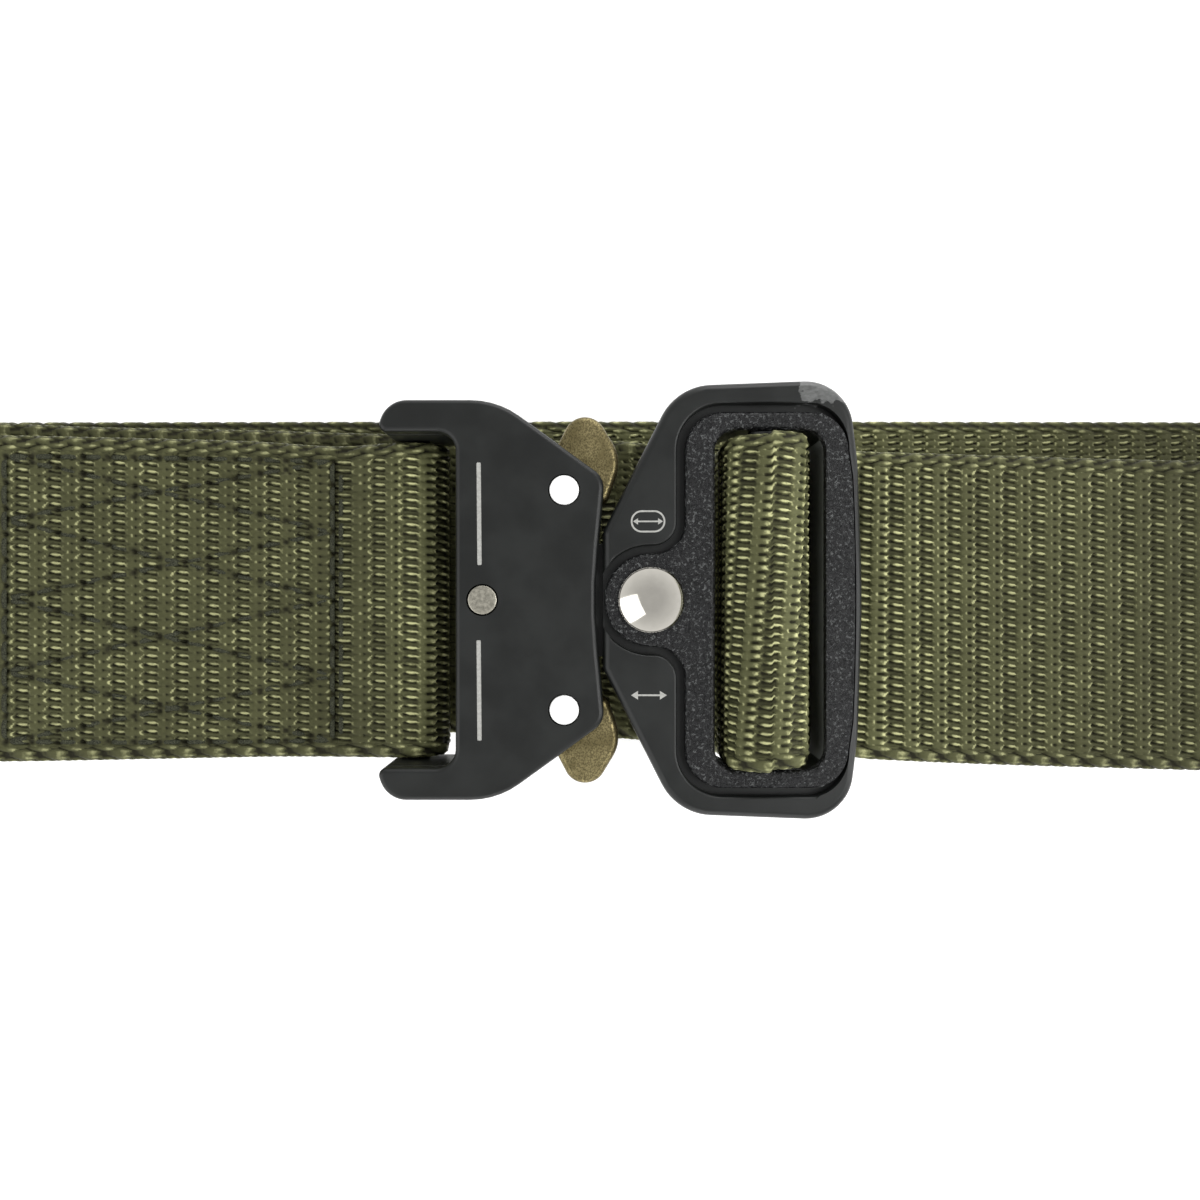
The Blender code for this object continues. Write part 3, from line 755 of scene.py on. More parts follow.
@dataclass
class StrapRoute:
    """The strap's middle line in mm, repeated from the CAD source's values."""

    thick: float = 2.3
    layer: float = 2.6
    fold_x: float = 251.1
    fold_radius: float = 13.85
    rear_z: float = 1.15
    flap_end: float = -75.0
    tail_end: float = -110.0
    join_x: float = -32.0
    bar: tuple[float, float, float] = (-22.9, 20.75, 3.1)  # x, z and radius of the strap's middle round it
    slide: tuple[float, float, float] = (19.3, 29.5, 3.7)
    bend: float = 3.0
    under_frame: float = 19.75
    under_housing: float = 15.95
    step: float = 0.1
    turn_points: int = 60
    fold_points: int = 300
    points: list[np.ndarray] = field(default_factory=list)
    spans: dict[Section, tuple[int, int]] = field(default_factory=dict)

    def __post_init__(self) -> None:
        """Traces the whole route."""
        top = self.rear_z + 2 * self.fold_radius
        self.front_left_z = [
            (-32, 21.85), (-36.5, 22.6), (-41.5, 24.0), (-47.6, 25.2), (-58.7, 26.95), (-69.7, 28.3),
            (-110, 29.3), (self.bar[0], self.bar[1] + self.bar[2]), (-self.fold_x, top),
        ]
        self.front_left_y = [(-22.9, 0), (-32, -0.2), (-42, 0.1), (-72, 0.2), (-251.1, 1.5)]
        self.front_right_z = [
            (28.3, self.under_frame), (34, 20.65), (45, 21.3), (73, 21.5), (110, 23.6), (170, 27.6),
            (self.fold_x, top),
        ]
        self.front_right_y = [(26, 0), (34, -0.7), (73, -1.9), (110, -2.4), (180, -1.2), (251.1, 0.5)]
        self.rear_y = [(-251.1, 4.4), (-150, 5.95), (150, 5.95), (251.1, 3.9)]
        tail_bend = self.slide[0] - self.slide[2] - self.bend
        self.tail_z = [
            (tail_bend, self.under_housing), (-10, 15.9), (-22.9, 14.95), (-32, 16.3), (-36.5, 17.2),
            (-41.5, 18.6), (-47.6, 19.85), (-58.7, 21.6), (-69.7, 22.95), (-85, 25.0), (-110, 26.3),
        ]
        self.tail_y = [
            (15.6, -0.35), (12.6, -0.2), (4, 1.2), (-6, 1.4), (-20, 2.0), (-28, 2.3), (-60, 2.15), (-72, 2.4),
            (-110, 3.2),
        ]
        bar_x, bar_z, bar_round = self.bar
        slide_x, slide_z, slide_round = self.slide
        turn = slide_x + slide_round + self.bend
        front_left, front_right = curve(self.front_left_y), curve(self.front_right_y)
        self.run(Section.FLAP, self.flap_end, bar_x, front_left, self.flap_height)
        self.turn(Section.BAR_WRAP, bar_x, bar_z, bar_round, -90, 90)
        self.run(Section.FRONT_LEFT, bar_x, -self.fold_x, front_left, curve(self.front_left_z))
        self.fold(Section.LEFT_FOLD, -self.fold_x, 90, self.front_left_y, self.rear_y)
        self.run(
            Section.REAR, -self.fold_x, self.fold_x, curve(self.rear_y),
            lambda x: np.full(np.shape(x), self.rear_z),
        )
        self.fold(Section.RIGHT_FOLD, self.fold_x, -90, self.rear_y, self.front_right_y)
        self.run(Section.FRONT_RIGHT, self.fold_x, turn, front_right, curve(self.front_right_z))
        self.turn(Section.RISE, turn, self.under_frame + self.bend, self.bend, -90, -180)
        self.turn(Section.SLIDE_WRAP, slide_x, slide_z, slide_round, 0, 180, self.tail_y)
        self.turn(Section.FALL, tail_bend, self.under_housing + self.bend, self.bend, 0, -90, self.tail_y)
        self.run(Section.TAIL, tail_bend, self.tail_end, curve(self.tail_y), curve(self.tail_z))
        line = np.concatenate(self.points)
        length = np.concatenate([[0], np.cumsum(np.linalg.norm(np.diff(line[:, [0, 2]], axis=0), axis=1))])
        keep = np.concatenate([[True], np.diff(length) > 1e-6])
        self.line, self.length = line, length
        self.clean_line, self.clean_length = line[keep], length[keep]

    def flap_height(self, x: np.ndarray) -> np.ndarray:
        """Height of the sewn flap: it leaves the wrap's underside and then follows the front layer."""
        step = 0.5
        rise = (eased(self.front_left_z, x + step) - eased(self.front_left_z, x - step)) / (2 * step)
        under = eased(self.front_left_z, x) - self.layer * np.hypot(1, rise)
        near = [
            (self.bar[0], self.bar[1] - self.bar[2]),
            (self.join_x, float(eased(self.front_left_z, self.join_x)) - self.layer),
        ]
        return np.where(x > self.join_x, eased(near, x), under)

    def keep(self, section: Section, x: np.ndarray, y: np.ndarray, z: np.ndarray) -> None:
        """Adds a stretch's points."""
        start = sum(len(points) for points in self.points)
        self.points.append(np.stack([x, y, z], axis=1))
        self.spans[section] = (start, start + len(x))

    def run(self, section: Section, start: float, end: float, side: Callable, height: Callable) -> None:
        """A stretch along X."""
        x = np.linspace(start, end, max(2, int(abs(end - start) / self.step)))
        self.keep(section, x, side(x), height(x))

    def turn(
        self, section: Section, x: float, z: float, radius: float, start: float, end: float,
        side: list[tuple[float, float]] | None = None,
    ) -> None:
        """A bend about a bar, from one angle to another in degrees."""
        angle = np.radians(np.linspace(start, end, self.turn_points))
        at = x + radius * np.cos(angle)
        y = 0 * at if side is None else np.where(at < self.slide[0], eased(side, at), 0.0)
        self.keep(section, at, y, z + radius * np.sin(angle))

    def fold(self, section: Section, x: float, start: float, before: list, after: list) -> None:
        """An end fold of the loop, moving sideways from one layer's line to the other's."""
        angle = np.radians(np.linspace(start, start + 180, self.fold_points))
        share = ease(np.linspace(0, 1, self.fold_points))
        y = eased(before, x) * (1 - share) + eased(after, x) * share
        height = self.rear_z + self.fold_radius + self.fold_radius * np.sin(angle)
        self.keep(section, x + self.fold_radius * np.cos(angle), y, height)

    def mark(self, section: Section, x: float | None = None, share: float = 0.0) -> float:
        """Length along the strap to a place in a section, by its x or by its share of the section."""
        first, last = self.spans[section]
        if x is None:
            return float(self.length[first] + (self.length[last - 1] - self.length[first]) * share)
        at, length = self.line[first:last, 0], self.length[first:last]
        order = np.argsort(at)
        return float(np.interp(x, at[order], length[order]))

    def place(self, length: np.ndarray) -> tuple[np.ndarray, np.ndarray]:
        """Points on the middle line at lengths along it, and the outward normal there."""
        near = 0.2  # mm to either side between which the line's direction is taken

        def at(where: np.ndarray) -> np.ndarray:
            """Points on the middle line."""
            axes = [np.interp(where, self.clean_length, axis) for axis in self.clean_line.T]
            return np.stack(axes, axis=1)

        ahead = at(length + near) - at(length - near)
        along = ahead[:, [0, 2]]
        along /= np.linalg.norm(along, axis=1, keepdims=True)
        normal = np.stack([along[:, 1], np.zeros(len(along)), -along[:, 0]], axis=1)
        return at(length), normal


@dataclass(frozen=True)
class Cord:
    """A row of slanting leaves along the strap's edge, each with a painted highlight at its right end and
    painted shade where it sinks.
    """

    shift: float  # leaves by which the row is moved along the strap
    place: float  # its middle, in mm beyond the woven part on a face, or in radians round the edge
    half: float  # half its width, in the same unit
    long: float  # a leaf's length, as a share of the way from one to the next
    slant: float  # half widths by which a leaf's right end lies further out than its middle
    pace: int = 1  # leaves in each repeat of the weave

    def lay(self, along: np.ndarray, at: np.ndarray) -> Relief:
        """Height and tone at repeats along the strap and places across the row."""
        leaf = self.pace * along + self.shift
        right = (np.round(leaf) - leaf) / (self.long / 2)
        away = (at - self.place) / self.half - self.slant * right
        span = np.clip(1 - np.abs(right) ** 1.8, 0, 1)
        half = np.clip(span, 1e-3, 1) ** 0.65
        height = np.sqrt(np.clip(1 - (away / half) ** 2, 0, 1)) * (0.45 + 0.55 * span)
        # The tone falls with the height as painted shade and rises towards the right end as a painted
        # highlight.
        return height, height**1.4 * (0.46 + 0.74 * ease((right + 0.35) / 1.1))


FACE_CORDS = (Cord(0.10, 0.20, 0.42, 0.86, 0.45), Cord(0.60, 0.62, 0.42, 0.88, 0.45))
EDGE_CORDS = (
    Cord(0.10, 0.42, 0.46, 0.88, 0.45), Cord(0.30, 1.00, 0.44, 0.98, 0.35, 2),
    Cord(0.80, 1.55, 0.46, 0.98, 0.0, 2), Cord(0.60, 2.30, 0.70, 0.95, -0.28),
)


@dataclass(frozen=True)
class Weave:
    """The webbing's weave: flat pads in one column, crossing floats in the next, and a corded edge."""

    row: float = 0.99  # mm from one pad to the next across the strap
    repeat: float = 3.65  # mm from one column of pads to the next
    woven_half: float = 17.35  # beyond this the edge cords begin
    face_fade: float = 0.30  # mm over which the face's floats give way to the cords
    pad_half: float = 0.245  # repeats from the middle of a pad to where the crossing floats begin
    pad_fade: float = 0.035  # repeats over which the one gives way to the other
    relief: float = 0.50
    sunk: float = 0.42  # how far the gaps lie under the strap's nominal face

    def floats(self, along: np.ndarray, across: np.ndarray, opened: np.ndarray) -> Relief:
        """Height and tone, both from 0 to about 1, of the floats at a place.

        Args:
            along: Repeats along the strap; whole numbers are pads' middles.
            across: Rows across the strap; whole numbers are pads' middles.
            opened: Share from 0 to 1 by which a bend opens the weave.

        Returns:
            The height of the uppermost yarn, and its brightness, painted highlights included.
        """
        pad = self.pads(along, across, opened)
        leaf = self.leaves(along, across, opened)
        column, row = np.round(along), np.round(across)
        u, v = column - along, across - row
        border = self.pad_half + 0.02 * np.cos(math.tau * v) - 0.02 * opened
        share = ease((border - np.abs(u)) / self.pad_fade + 0.5)
        height, tone = (a * share + b * (1 - share) for a, b in zip(pad, leaf))
        # The bright hooks at the pads' ends are painted highlights in the tone, over a little raised height.
        bowed = bell(u - 0.236 - 0.085 * np.clip(np.abs(v) / 0.34, 0, 1) ** 2, 0.046)
        leaning = bell(u - 0.258 - 0.19 * v, 0.044)
        right = np.where(row % 2 == 0, bowed, leaning) * bell(v - 0.02, 0.37, 5)
        left = bell(u + 0.222 - 0.07 * np.clip(np.abs(v + 0.02) / 0.36, 0, 1) ** 2, 0.038)
        left = left * bell(v + 0.04, 0.34, 4)
        hook_highlight = right * (0.62 + 0.45 * chance(column, row, 1)) + left * (0.24 + 0.34 * chance(column, row, 5))
        hook_highlight = np.clip(hook_highlight, 0, 1)
        return np.maximum(height, 0.88 * hook_highlight), np.clip(tone, 0, 2) * (1 - 0.6 * hook_highlight) + hook_highlight

    def pads(self, along: np.ndarray, across: np.ndarray, opened: np.ndarray) -> Relief:
        """Height and tone of the flat pads, with a bright speck and a gap between one and the next that is
        darkened as painted shade.
        """
        column, row = np.round(along), np.round(across)
        u, v = column - along, across - row
        between = np.abs(v) - 0.5
        seam = bell(between, 0.12)
        speck = bell(np.hypot((u + 0.04) * self.repeat, between * self.row), 0.20)
        speck = speck * (0.40 + 0.60 * chance(column, np.floor(across), 2))
        slot = np.clip(np.abs(u - 0.055 - 0.07 * opened) - 0.09 * opened, 0, 1)
        gap = bell(np.hypot(slot * 3.0, (between + 0.03) * self.row), 0.105 + 0.05 * opened)
        end = np.clip(1 - (np.abs(u) / 0.30) ** 6, 0, 1) ** 0.5
        bow = np.cos(math.pi * v)
        height = end * (0.72 + (0.13 + 0.10 * opened) * bow - 0.14 * seam - 0.50 * gap + 0.20 * speck)
        # The tone is painted light and shade: brighter on each pad's crest and in bends, darker at the seams
        # and in the gaps.
        tone = 0.33 + 0.06 * opened + (0.04 + 0.12 * chance(column, row, 1)) * bow - 0.06 * seam
        # In a bend one side of each pad is lightened as a painted highlight.
        wear_and_painted_light = 0.24 * opened * ease((u - 0.02) / 0.14) * (0.75 + 0.35 * bow)
        return height, (tone + 0.80 * speck + wear_and_painted_light) * (1 - 0.95 * gap)

    @staticmethod
    def leaves(along: np.ndarray, across: np.ndarray, opened: np.ndarray) -> Relief:
        """Height and tone of the floats that cross between the pads: a lens brightened towards one end by a
        painted highlight, then an arch dulled by painted shade.
        """
        column = np.floor(along)
        u = column + 0.5 - along
        lean = (u + 0.24) / 0.48
        line = 0.05 - 0.18 * ease(lean) + 0.03 * np.sin(math.tau * lean)
        row = np.floor(across - line)
        above = across - line - row
        luck = chance(column, row, 3)
        left_gap = np.where(row % 2 == 0, 0.27, 0.15) * np.clip(-(u + 0.02) / 0.22, 0, 1) ** 1.2
        gap = 0.05 + left_gap + 0.08 * np.clip((u - 0.04) / 0.18, 0, 1) ** 1.5
        point = np.clip(1 - ((u - 0.075) / 0.20) ** 2, 0, 1) ** 0.55
        half = 0.235 * point + 1e-3
        lens = np.clip(1 - ((above - gap - half) / half) ** 2, 0, 1) ** 0.5
        low = 2 * half + gap
        arch_half = (1 - gap * 0.55 - low) / 2
        arch = np.clip(1 - ((above - low - arch_half) / arch_half) ** 2, 0, 1) ** 0.5
        lens_height = lens * (0.70 + 0.30 * point)
        arch_height = (0.52 - 0.20 * opened) * arch
        # The lens carries a painted highlight and the arch painted shade, darker still in bends.
        lens_highlight_tone = lens**1.1 * (0.58 + 0.46 * ease((u + 0.12) / 0.16)) * (0.74 + 0.36 * luck)
        arch_shade_tone = (0.42 - 0.16 * opened) * arch**0.8 * (0.75 + 0.5 * luck)
        raised = lens_height > arch_height
        return np.where(raised, lens_height, arch_height), np.where(raised, lens_highlight_tone, arch_shade_tone)

    @staticmethod
    def upper(*layers: Relief) -> Relief:
        """Height and tone of whichever layer lies uppermost at each point."""
        height, tone = layers[0]
        for other_height, other_tone in layers[1:]:
            tone = np.where(other_height > height, other_tone, tone)
            height = np.maximum(height, other_height)
        return height, tone

    def face(self, along: np.ndarray, across: np.ndarray, opened: np.ndarray) -> Relief:
        """Height and tone over a face of the strap; across is in mm from its middle."""
        height, tone = self.floats(along, across / self.row, opened)
        away = np.abs(across) - self.woven_half
        share = ease((self.face_fade - away) / self.face_fade)
        cords = (cord.lay(along, away) for cord in FACE_CORDS)
        return self.upper((height * share, tone * share), *cords)

    def edge(self, along: np.ndarray, angle: np.ndarray) -> Relief:
        """Height and tone round the rolled edge; the angle runs from 0 at one face to pi at the other."""
        return self.upper(*(cord.lay(along, angle) for cord in EDGE_CORDS))


@dataclass(frozen=True)
class StitchRow:
    """One row of stitches between two places in mm, and how far it stands out of the weave."""

    start: tuple[float, float]
    end: tuple[float, float]
    proud: float

    def spread(self, pitch: float) -> list[tuple[np.ndarray, np.ndarray]]:
        """Both ends of each stitch."""
        start, end = np.array(self.start), np.array(self.end)
        count = max(1, round(float(np.linalg.norm(end - start)) / pitch))
        places = [start + (end - start) * step / count for step in range(count + 1)]
        return list(zip(places, places[1:]))


@dataclass(frozen=True)
class Stitching:
    """Rows of stitches that hold the sewn end: a long box with crosses in it, and a doubled end row."""

    pitch: float = 2.9
    gap: float = 0.35
    width: float = 0.62
    thick: float = 0.44
    left_px: float = 4.0
    right_px: float = 332.0
    double_px: float = 341.0
    left_nodes_px: tuple[float, ...] = (456, 520, 599, 672, 742)
    right_nodes_px: tuple[float, ...] = (461, 532, 599, 676, 741)
    left_height: float = 29.4
    right_height: float = 23.1
    hole: float = 0.34  # mm over which a needle hole fades
    hole_reach: float = 1.0  # mm beyond which it no longer counts

    def rows(self) -> list[StitchRow]:
        """Every row of stitches."""
        left = seen(self.left_px, self.left_height)
        right = seen(self.right_px, self.right_height)
        double = seen(self.double_px, self.right_height)
        lefts = [-seen(y, self.left_height) for y in self.left_nodes_px]
        rights = [-seen(y, self.right_height) for y in self.right_nodes_px]
        rows = [
            StitchRow((left, lefts[0]), (right, rights[0]), -0.08),
            StitchRow((left, lefts[-1]), (right, rights[-1]), -0.08),
            StitchRow((left, lefts[0]), (left, lefts[-1]), 0.12),
            StitchRow((right, rights[0]), (right, rights[-1]), 0.14),
            StitchRow((double, rights[0] - 1.2), (double, rights[-1] + 0.4), 0.14),
        ]
        for index in range(len(lefts) - 1):
            rows.append(StitchRow((left, lefts[index]), (right, rights[index + 1]), -0.15))
            rows.append(StitchRow((left, lefts[index + 1]), (right, rights[index]), -0.15))
        return rows

    def away(self, x: np.ndarray, y: np.ndarray) -> np.ndarray:
        """Distance in mm from a point to the nearest row."""
        nearest = np.full(x.shape, np.inf)
        for row in self.rows():
            (x0, y0), (x1, y1) = row.start, row.end
            run_x, run_y = x1 - x0, y1 - y0
            share = np.clip(((x - x0) * run_x + (y - y0) * run_y) / (run_x**2 + run_y**2), 0, 1)
            nearest = np.minimum(nearest, np.hypot(x - x0 - share * run_x, y - y0 - share * run_y))
        return nearest

    def needle(self, x: np.ndarray, y: np.ndarray) -> np.ndarray:
        """Share, from 0 to 1, of a needle hole at each point."""
        share = np.zeros(x.shape)
        for row in self.rows():
            for start, _ in row.spread(self.pitch):
                near = (np.abs(x - start[0]) < self.hole_reach) & (np.abs(y - start[1]) < self.hole_reach)
                away = np.hypot(x[near] - start[0], y[near] - start[1])
                share[near] = np.maximum(share[near], np.exp(-((away / self.hole) ** 2)))
        return share

    def build(self, route: "StrapRoute") -> None:
        """Models every stitch and joins them in one piece.

        Args:
            route: The strap's route, whose face the stitches lie on.
        """
        rings, sides = 9, 10
        share = np.linspace(-1, 1, rings)
        turn = np.linspace(0, math.tau, sides, endpoint=False)
        points, faces = [], []
        for row in self.rows():
            for start, end in row.spread(self.pitch):
                base = len(points) * rings * sides
                points.append(self.stitch(route, row.proud, start, end, share, turn))
                at = base + np.arange(rings * sides).reshape(rings, sides)
                quads = np.stack([at[:-1], at[1:], np.roll(at[1:], -1, 1), np.roll(at[:-1], -1, 1)], axis=2)
                faces += quads.reshape(-1, 4).tolist()
                faces += [at[0].tolist(), at[-1].tolist()[::-1]]
        mesh = bpy.data.meshes.new("box_stitching")
        mesh.from_pydata((np.concatenate(points) * MM).tolist(), [], faces)
        mesh.polygons.foreach_set("use_smooth", np.ones(len(mesh.polygons), bool))
        item = bpy.data.objects.new("box_stitching", mesh)
        bpy.context.scene.collection.objects.link(item)
        with Editing(item):
            Bench.face_outwards()
        item.data.materials.append(THREAD.material())
        enter(item, THREAD, BELT, [])

    def stitch(
        self, route: "StrapRoute", proud: float, start: np.ndarray, end: np.ndarray, share: np.ndarray,
        turn: np.ndarray,
    ) -> np.ndarray:
        """Rings of points of one stitch, which dives into the weave at both ends."""
        run = (end - start) / 2
        reach = float(np.linalg.norm(run))
        middle = (start + end) / 2
        used = (reach - self.gap / 2) / reach
        spine = middle[None, :] + share[:, None] * used * run[None, :]
        length = np.array([route.mark(Section.FRONT_LEFT, float(x)) for x in spine[:, 0]])
        centre, normal = route.place(length)
        dive = 0.62 * np.abs(share) ** 3.5
        lift = route.thick / 2 + proud - self.thick * 0.3 - dive
        base = np.stack([spine[:, 0], spine[:, 1], centre[:, 2]], axis=1) + normal * lift[:, None] * [0, 0, 1]
        side = np.array([-run[1], run[0], 0.0]) / reach
        slim = np.clip(1 - np.abs(share) ** 6, 0.12, 1) ** 0.5
        wide = self.width / 2 * slim[:, None, None] * np.cos(turn)[None, :, None] * side[None, None, :]
        tall = self.thick / 2 * slim[:, None, None] * np.sin(turn)[None, :, None] * normal[:, None, :]
        return (base[:, None, :] + wide + tall).reshape(-1, 3)


@dataclass(frozen=True)
class Grade:
    """How finely a stretch of strap is modelled."""

    step: float  # mm between stations
    face_row: float  # mm between rows of the face that shows
    back_row: float  # mm between rows of the other face
    fine_from: float = 0.0  # distance from the middle, in mm, beyond which the face that shows has fine rows
    edge_steps: int = 12
    woven: bool = True


FINE = Grade(step=0.1825, face_row=0.12375, back_row=1.4)
EDGE_FINE = Grade(step=0.28, face_row=0.12375, back_row=1.6, fine_from=12.375)
EDGE_HALF = Grade(step=0.304, face_row=0.2475, back_row=1.6, fine_from=12.375)
COARSE = Grade(step=0.73, face_row=1.6, back_row=1.6, fine_from=math.inf, edge_steps=6, woven=False)


@dataclass
class Webbing:
    """The woven strap, in stretches that follow one another along its route."""

    route: StrapRoute
    weave: Weave
    stitching: Stitching
    arc_middle: float = 18.1  # mm from the strap's middle to the middle of its rolled edge
    arc_wide: float = 0.95
    edge_across: float = 18.6  # mm from the middle at which the whole edge follows the weave's count
    near: float = 76.0  # mm to either side of the middle between which the front is woven
    rear_near: float = 86.0  # the same for the rear half, which lies lower, so more of it is in view
    sewn: str = "strap_front_left"
    rear_painted_light: float = 1.25  # painted light on the rear half, as a factor against the front's
    slide_slant: float = 0.019  # repeats that the columns lean for each mm across, on the slide bar
    slant_fall: float = 12.0  # mm over which that lean ends
    # Painted light along the strap: it brightens the bends and the stretches by the buckle and dims the far
    # ends.
    wear_and_painted_light: tuple = (
        (-80, 1.10), (-40, 1.00), (-31, 0.86), (-26, 1.05), (-23, 1.80), (-20, 2.3), (-17, 2.3),
        (-12, 1.0), (12, 1.80), (15, 2.00), (18, 1.28), (22, 1.90), (26, 1.90), (29, 1.95), (36, 1.72),
        (46, 1.25), (55, 1.08), (75, 0.80),
    )  # x in mm, and the painted light there as a factor on the dye's lightness

    def __post_init__(self) -> None:
        """Counts the weave's repeats along the strap, so that its columns stand where they are seen."""
        route = self.route
        left = [(427.0, 0), (393.0, 1), (362.0, 2), (317.0, 3), (164.8, 8), (36.4, 12)]
        right = [(1172.5, 0), (1023.1, 5), (911.5, 9)]
        slide = [(792.0, 16), (754.0, 17)]
        knots = [(self.seen_along(Section.BAR_WRAP, left[0][0]), 0.0)]
        knots += [(self.seen_along(Section.FRONT_LEFT, px), float(count)) for px, count in left[1:]]
        last_at, last_count = knots[-1]
        onwards = self.seen_along(Section.FRONT_RIGHT, right[0][0]) - last_at
        base = round(last_count + onwards / self.weave.repeat)
        knots += [(self.seen_along(Section.FRONT_RIGHT, px), float(base + count)) for px, count in right]
        knots += [(self.seen_along(Section.SLIDE_WRAP, px), float(base + count)) for px, count in slide]
        self.knots = np.array(knots).T
        self.slant_from = route.mark(Section.FRONT_RIGHT, 38.0)
        self.slant_full = route.mark(Section.RISE, share=0.0)
        self.slant_back = route.mark(Section.TAIL, share=0.0)
        wrapped = route.mark(Section.BAR_WRAP, share=1.0)
        self.bends = np.array([
            (wrapped - 1.0, 1.0), (wrapped + 2.5, 0.0), (route.mark(Section.FRONT_RIGHT, 72.0), 0.0),
            (route.mark(Section.FRONT_RIGHT, 48.0), 0.35), (route.mark(Section.FRONT_RIGHT, 33.0), 0.85),
            (route.mark(Section.RISE, share=0.0), 0.6), (route.mark(Section.SLIDE_WRAP, share=0.1), 1.0),
            (route.mark(Section.SLIDE_WRAP, share=1.0), 1.0), (route.mark(Section.FALL, share=1.0), 0.0),
        ]).T

    def seen_along(self, section: Section, pixel: float) -> float:
        """Length along the strap at which its upper face is seen at a pixel column."""
        first, last = self.route.spans[section]
        length = self.route.length[first:last]
        centre, normal = self.route.place(length)
        top = centre + normal * self.route.thick / 2
        upward = normal[:, 2] > 0.15
        column = CENTRE_PX + FOCAL_PX * top[:, 0] / (CAMERA_HEIGHT - top[:, 2])
        column, length = column[upward], length[upward]
        order = np.argsort(column)
        return float(np.interp(pixel, column[order], length[order]))

    def phase(self, length: np.ndarray, across: np.ndarray) -> np.ndarray:
        """Weave repeats at lengths along the strap and distances across it."""
        at, count = self.knots
        before = np.minimum(length - at[0], 0) / self.weave.repeat
        after = np.maximum(length - at[-1], 0) / self.weave.repeat
        rise = ease((length - self.slant_from) / (self.slant_full - self.slant_from))
        fall = ease((self.slant_back + self.slant_fall - length) / self.slant_fall)
        return np.interp(length, at, count) + before + after + self.slide_slant * across * rise * fall

    def shade(self, centre: np.ndarray, along: np.ndarray) -> np.ndarray:
        """How much painted light brightens or dims the strap at each point: brightest round the buckle,
        dimmer towards both far ends, and brighter on the rear half.
        """
        at, value = np.array(self.wear_and_painted_light).T
        lift = np.where(centre[:, 2] < self.route.fold_radius, self.rear_painted_light, 1.0)
        return (np.interp(centre[:, 0], at, value) * lift)[:, None] + 0 * along

    def rows(self, grade: Grade, inner_shows: bool) -> tuple[np.ndarray, np.ndarray, np.ndarray]:
        """The points round one station.

        Args:
            grade: How finely it is modelled.
            inner_shows: Whether the inner face is the one that shows.

        Returns:
            Each point's side (0 outer face, 1 right edge, 2 inner face, 3 left edge), its distance
            across in mm on a face, and its angle on an edge.
        """

        def plain(reach: float) -> np.ndarray:
            """Wide rows out to a distance on both sides."""
            return np.linspace(-reach, reach, round(2 * reach / grade.back_row))

        def face(shows: bool) -> np.ndarray:
            """Every row of a face."""
            if shows and grade.fine_from < self.arc_middle:
                fine = np.arange(grade.fine_from, self.arc_middle - 0.05, grade.face_row)
                middle = plain(grade.fine_from) if grade.fine_from else fine[:1]
                return np.concatenate([-fine[:0:-1], middle, fine[1:]])
            return plain(self.arc_middle)

        outer, inner = face(not inner_shows), face(inner_shows)[::-1]
        bend = np.linspace(0, math.pi, grade.edge_steps + 1)[1:-1]
        side = np.repeat([0.0, 1.0, 2.0, 3.0], [len(outer), len(bend), len(inner), len(bend)])
        edge = np.full(len(bend), self.edge_across)
        across = np.concatenate([outer, edge, inner, -edge])
        angle = np.concatenate([np.zeros(len(outer)), bend, np.full(len(inner), math.pi), bend[::-1]])
        return side, across, angle

    def sew(
        self, centre: np.ndarray, across: np.ndarray, outer: np.ndarray, rise: np.ndarray, tone: np.ndarray
    ) -> Relief:
        """Rise and tone of the outer face where stitches press it in and the needle has pierced it; the tone
        there is darkened as painted shade.
        """
        y = centre[:, 1:2] + across[None, :]
        x = np.broadcast_to(centre[:, :1], y.shape)
        near = np.exp(-((self.stitching.away(x, y) / 0.50) ** 2)) * outer
        hole = self.stitching.needle(x, y) * outer
        return rise - 0.15 * near - 0.30 * hole, tone * (1 - 0.30 * near) * (1 - 0.9 * hole)

    def stretch(
        self, name: str, start: float, end: float, grade: Grade, inner_shows: bool = False
    ) -> Item:
        """Models one stretch of the strap.

        Args:
            name: The piece's name.
            start: Length along the strap at which it starts, in mm.
            end: Length at which it ends.
            grade: How finely it is modelled.
            inner_shows: Whether the inner face is the one that shows.

        Returns:
            The piece.
        """
        count = max(2, round((end - start) / grade.step) + 1)
        length = np.linspace(start, end, count)
        centre, normal = self.route.place(length)
        side, across, angle = self.rows(grade, inner_shows)
        along = self.phase(length[:, None], across[None, :])
        inner = side >= 2
        on_edge = side % 2 == 1
        opened = np.broadcast_to(np.interp(length, *self.bends)[:, None], along.shape)
        rows, angles = np.broadcast_to(across, along.shape), np.broadcast_to(angle, along.shape)
        face_height, face_tone = self.weave.face(along + 0.5 * inner, rows, opened)
        edge_height, edge_tone = self.weave.edge(along + 0.5 * (side == 3), angles)
        height = np.where(on_edge, edge_height, face_height)
        tone = np.where(on_edge, edge_tone, face_tone)
        if not grade.woven:  # too few stations for the edge cords, so one float a repeat stands for them
            wave = np.cos(math.tau * along)
            height = np.where(on_edge, 0.62 + 0.22 * wave, 0.70 + 0.12 * wave)
            tone = np.where(on_edge, 0.50 + 0.18 * wave, tone)
        half = self.route.thick / 2
        rise = half - self.weave.sunk + self.weave.relief * height
        if name == self.sewn:
            rise, tone = self.sew(centre, across, side == 0, rise, tone)
        swell = 0.76 + 0.34 * height
        out = np.where(side == 1, 1.0, -1.0)
        v = np.where(on_edge, out * (self.arc_middle + self.arc_wide * bulged(np.sin(angle)) * swell), across)
        round_edge = half * bulged(np.cos(angle)) * (0.74 + 0.30 * height)
        t = np.where(on_edge, round_edge, np.where(inner, -1.0, 1.0) * rise)
        points = centre[:, None, :] + normal[:, None, :] * t[:, :, None]
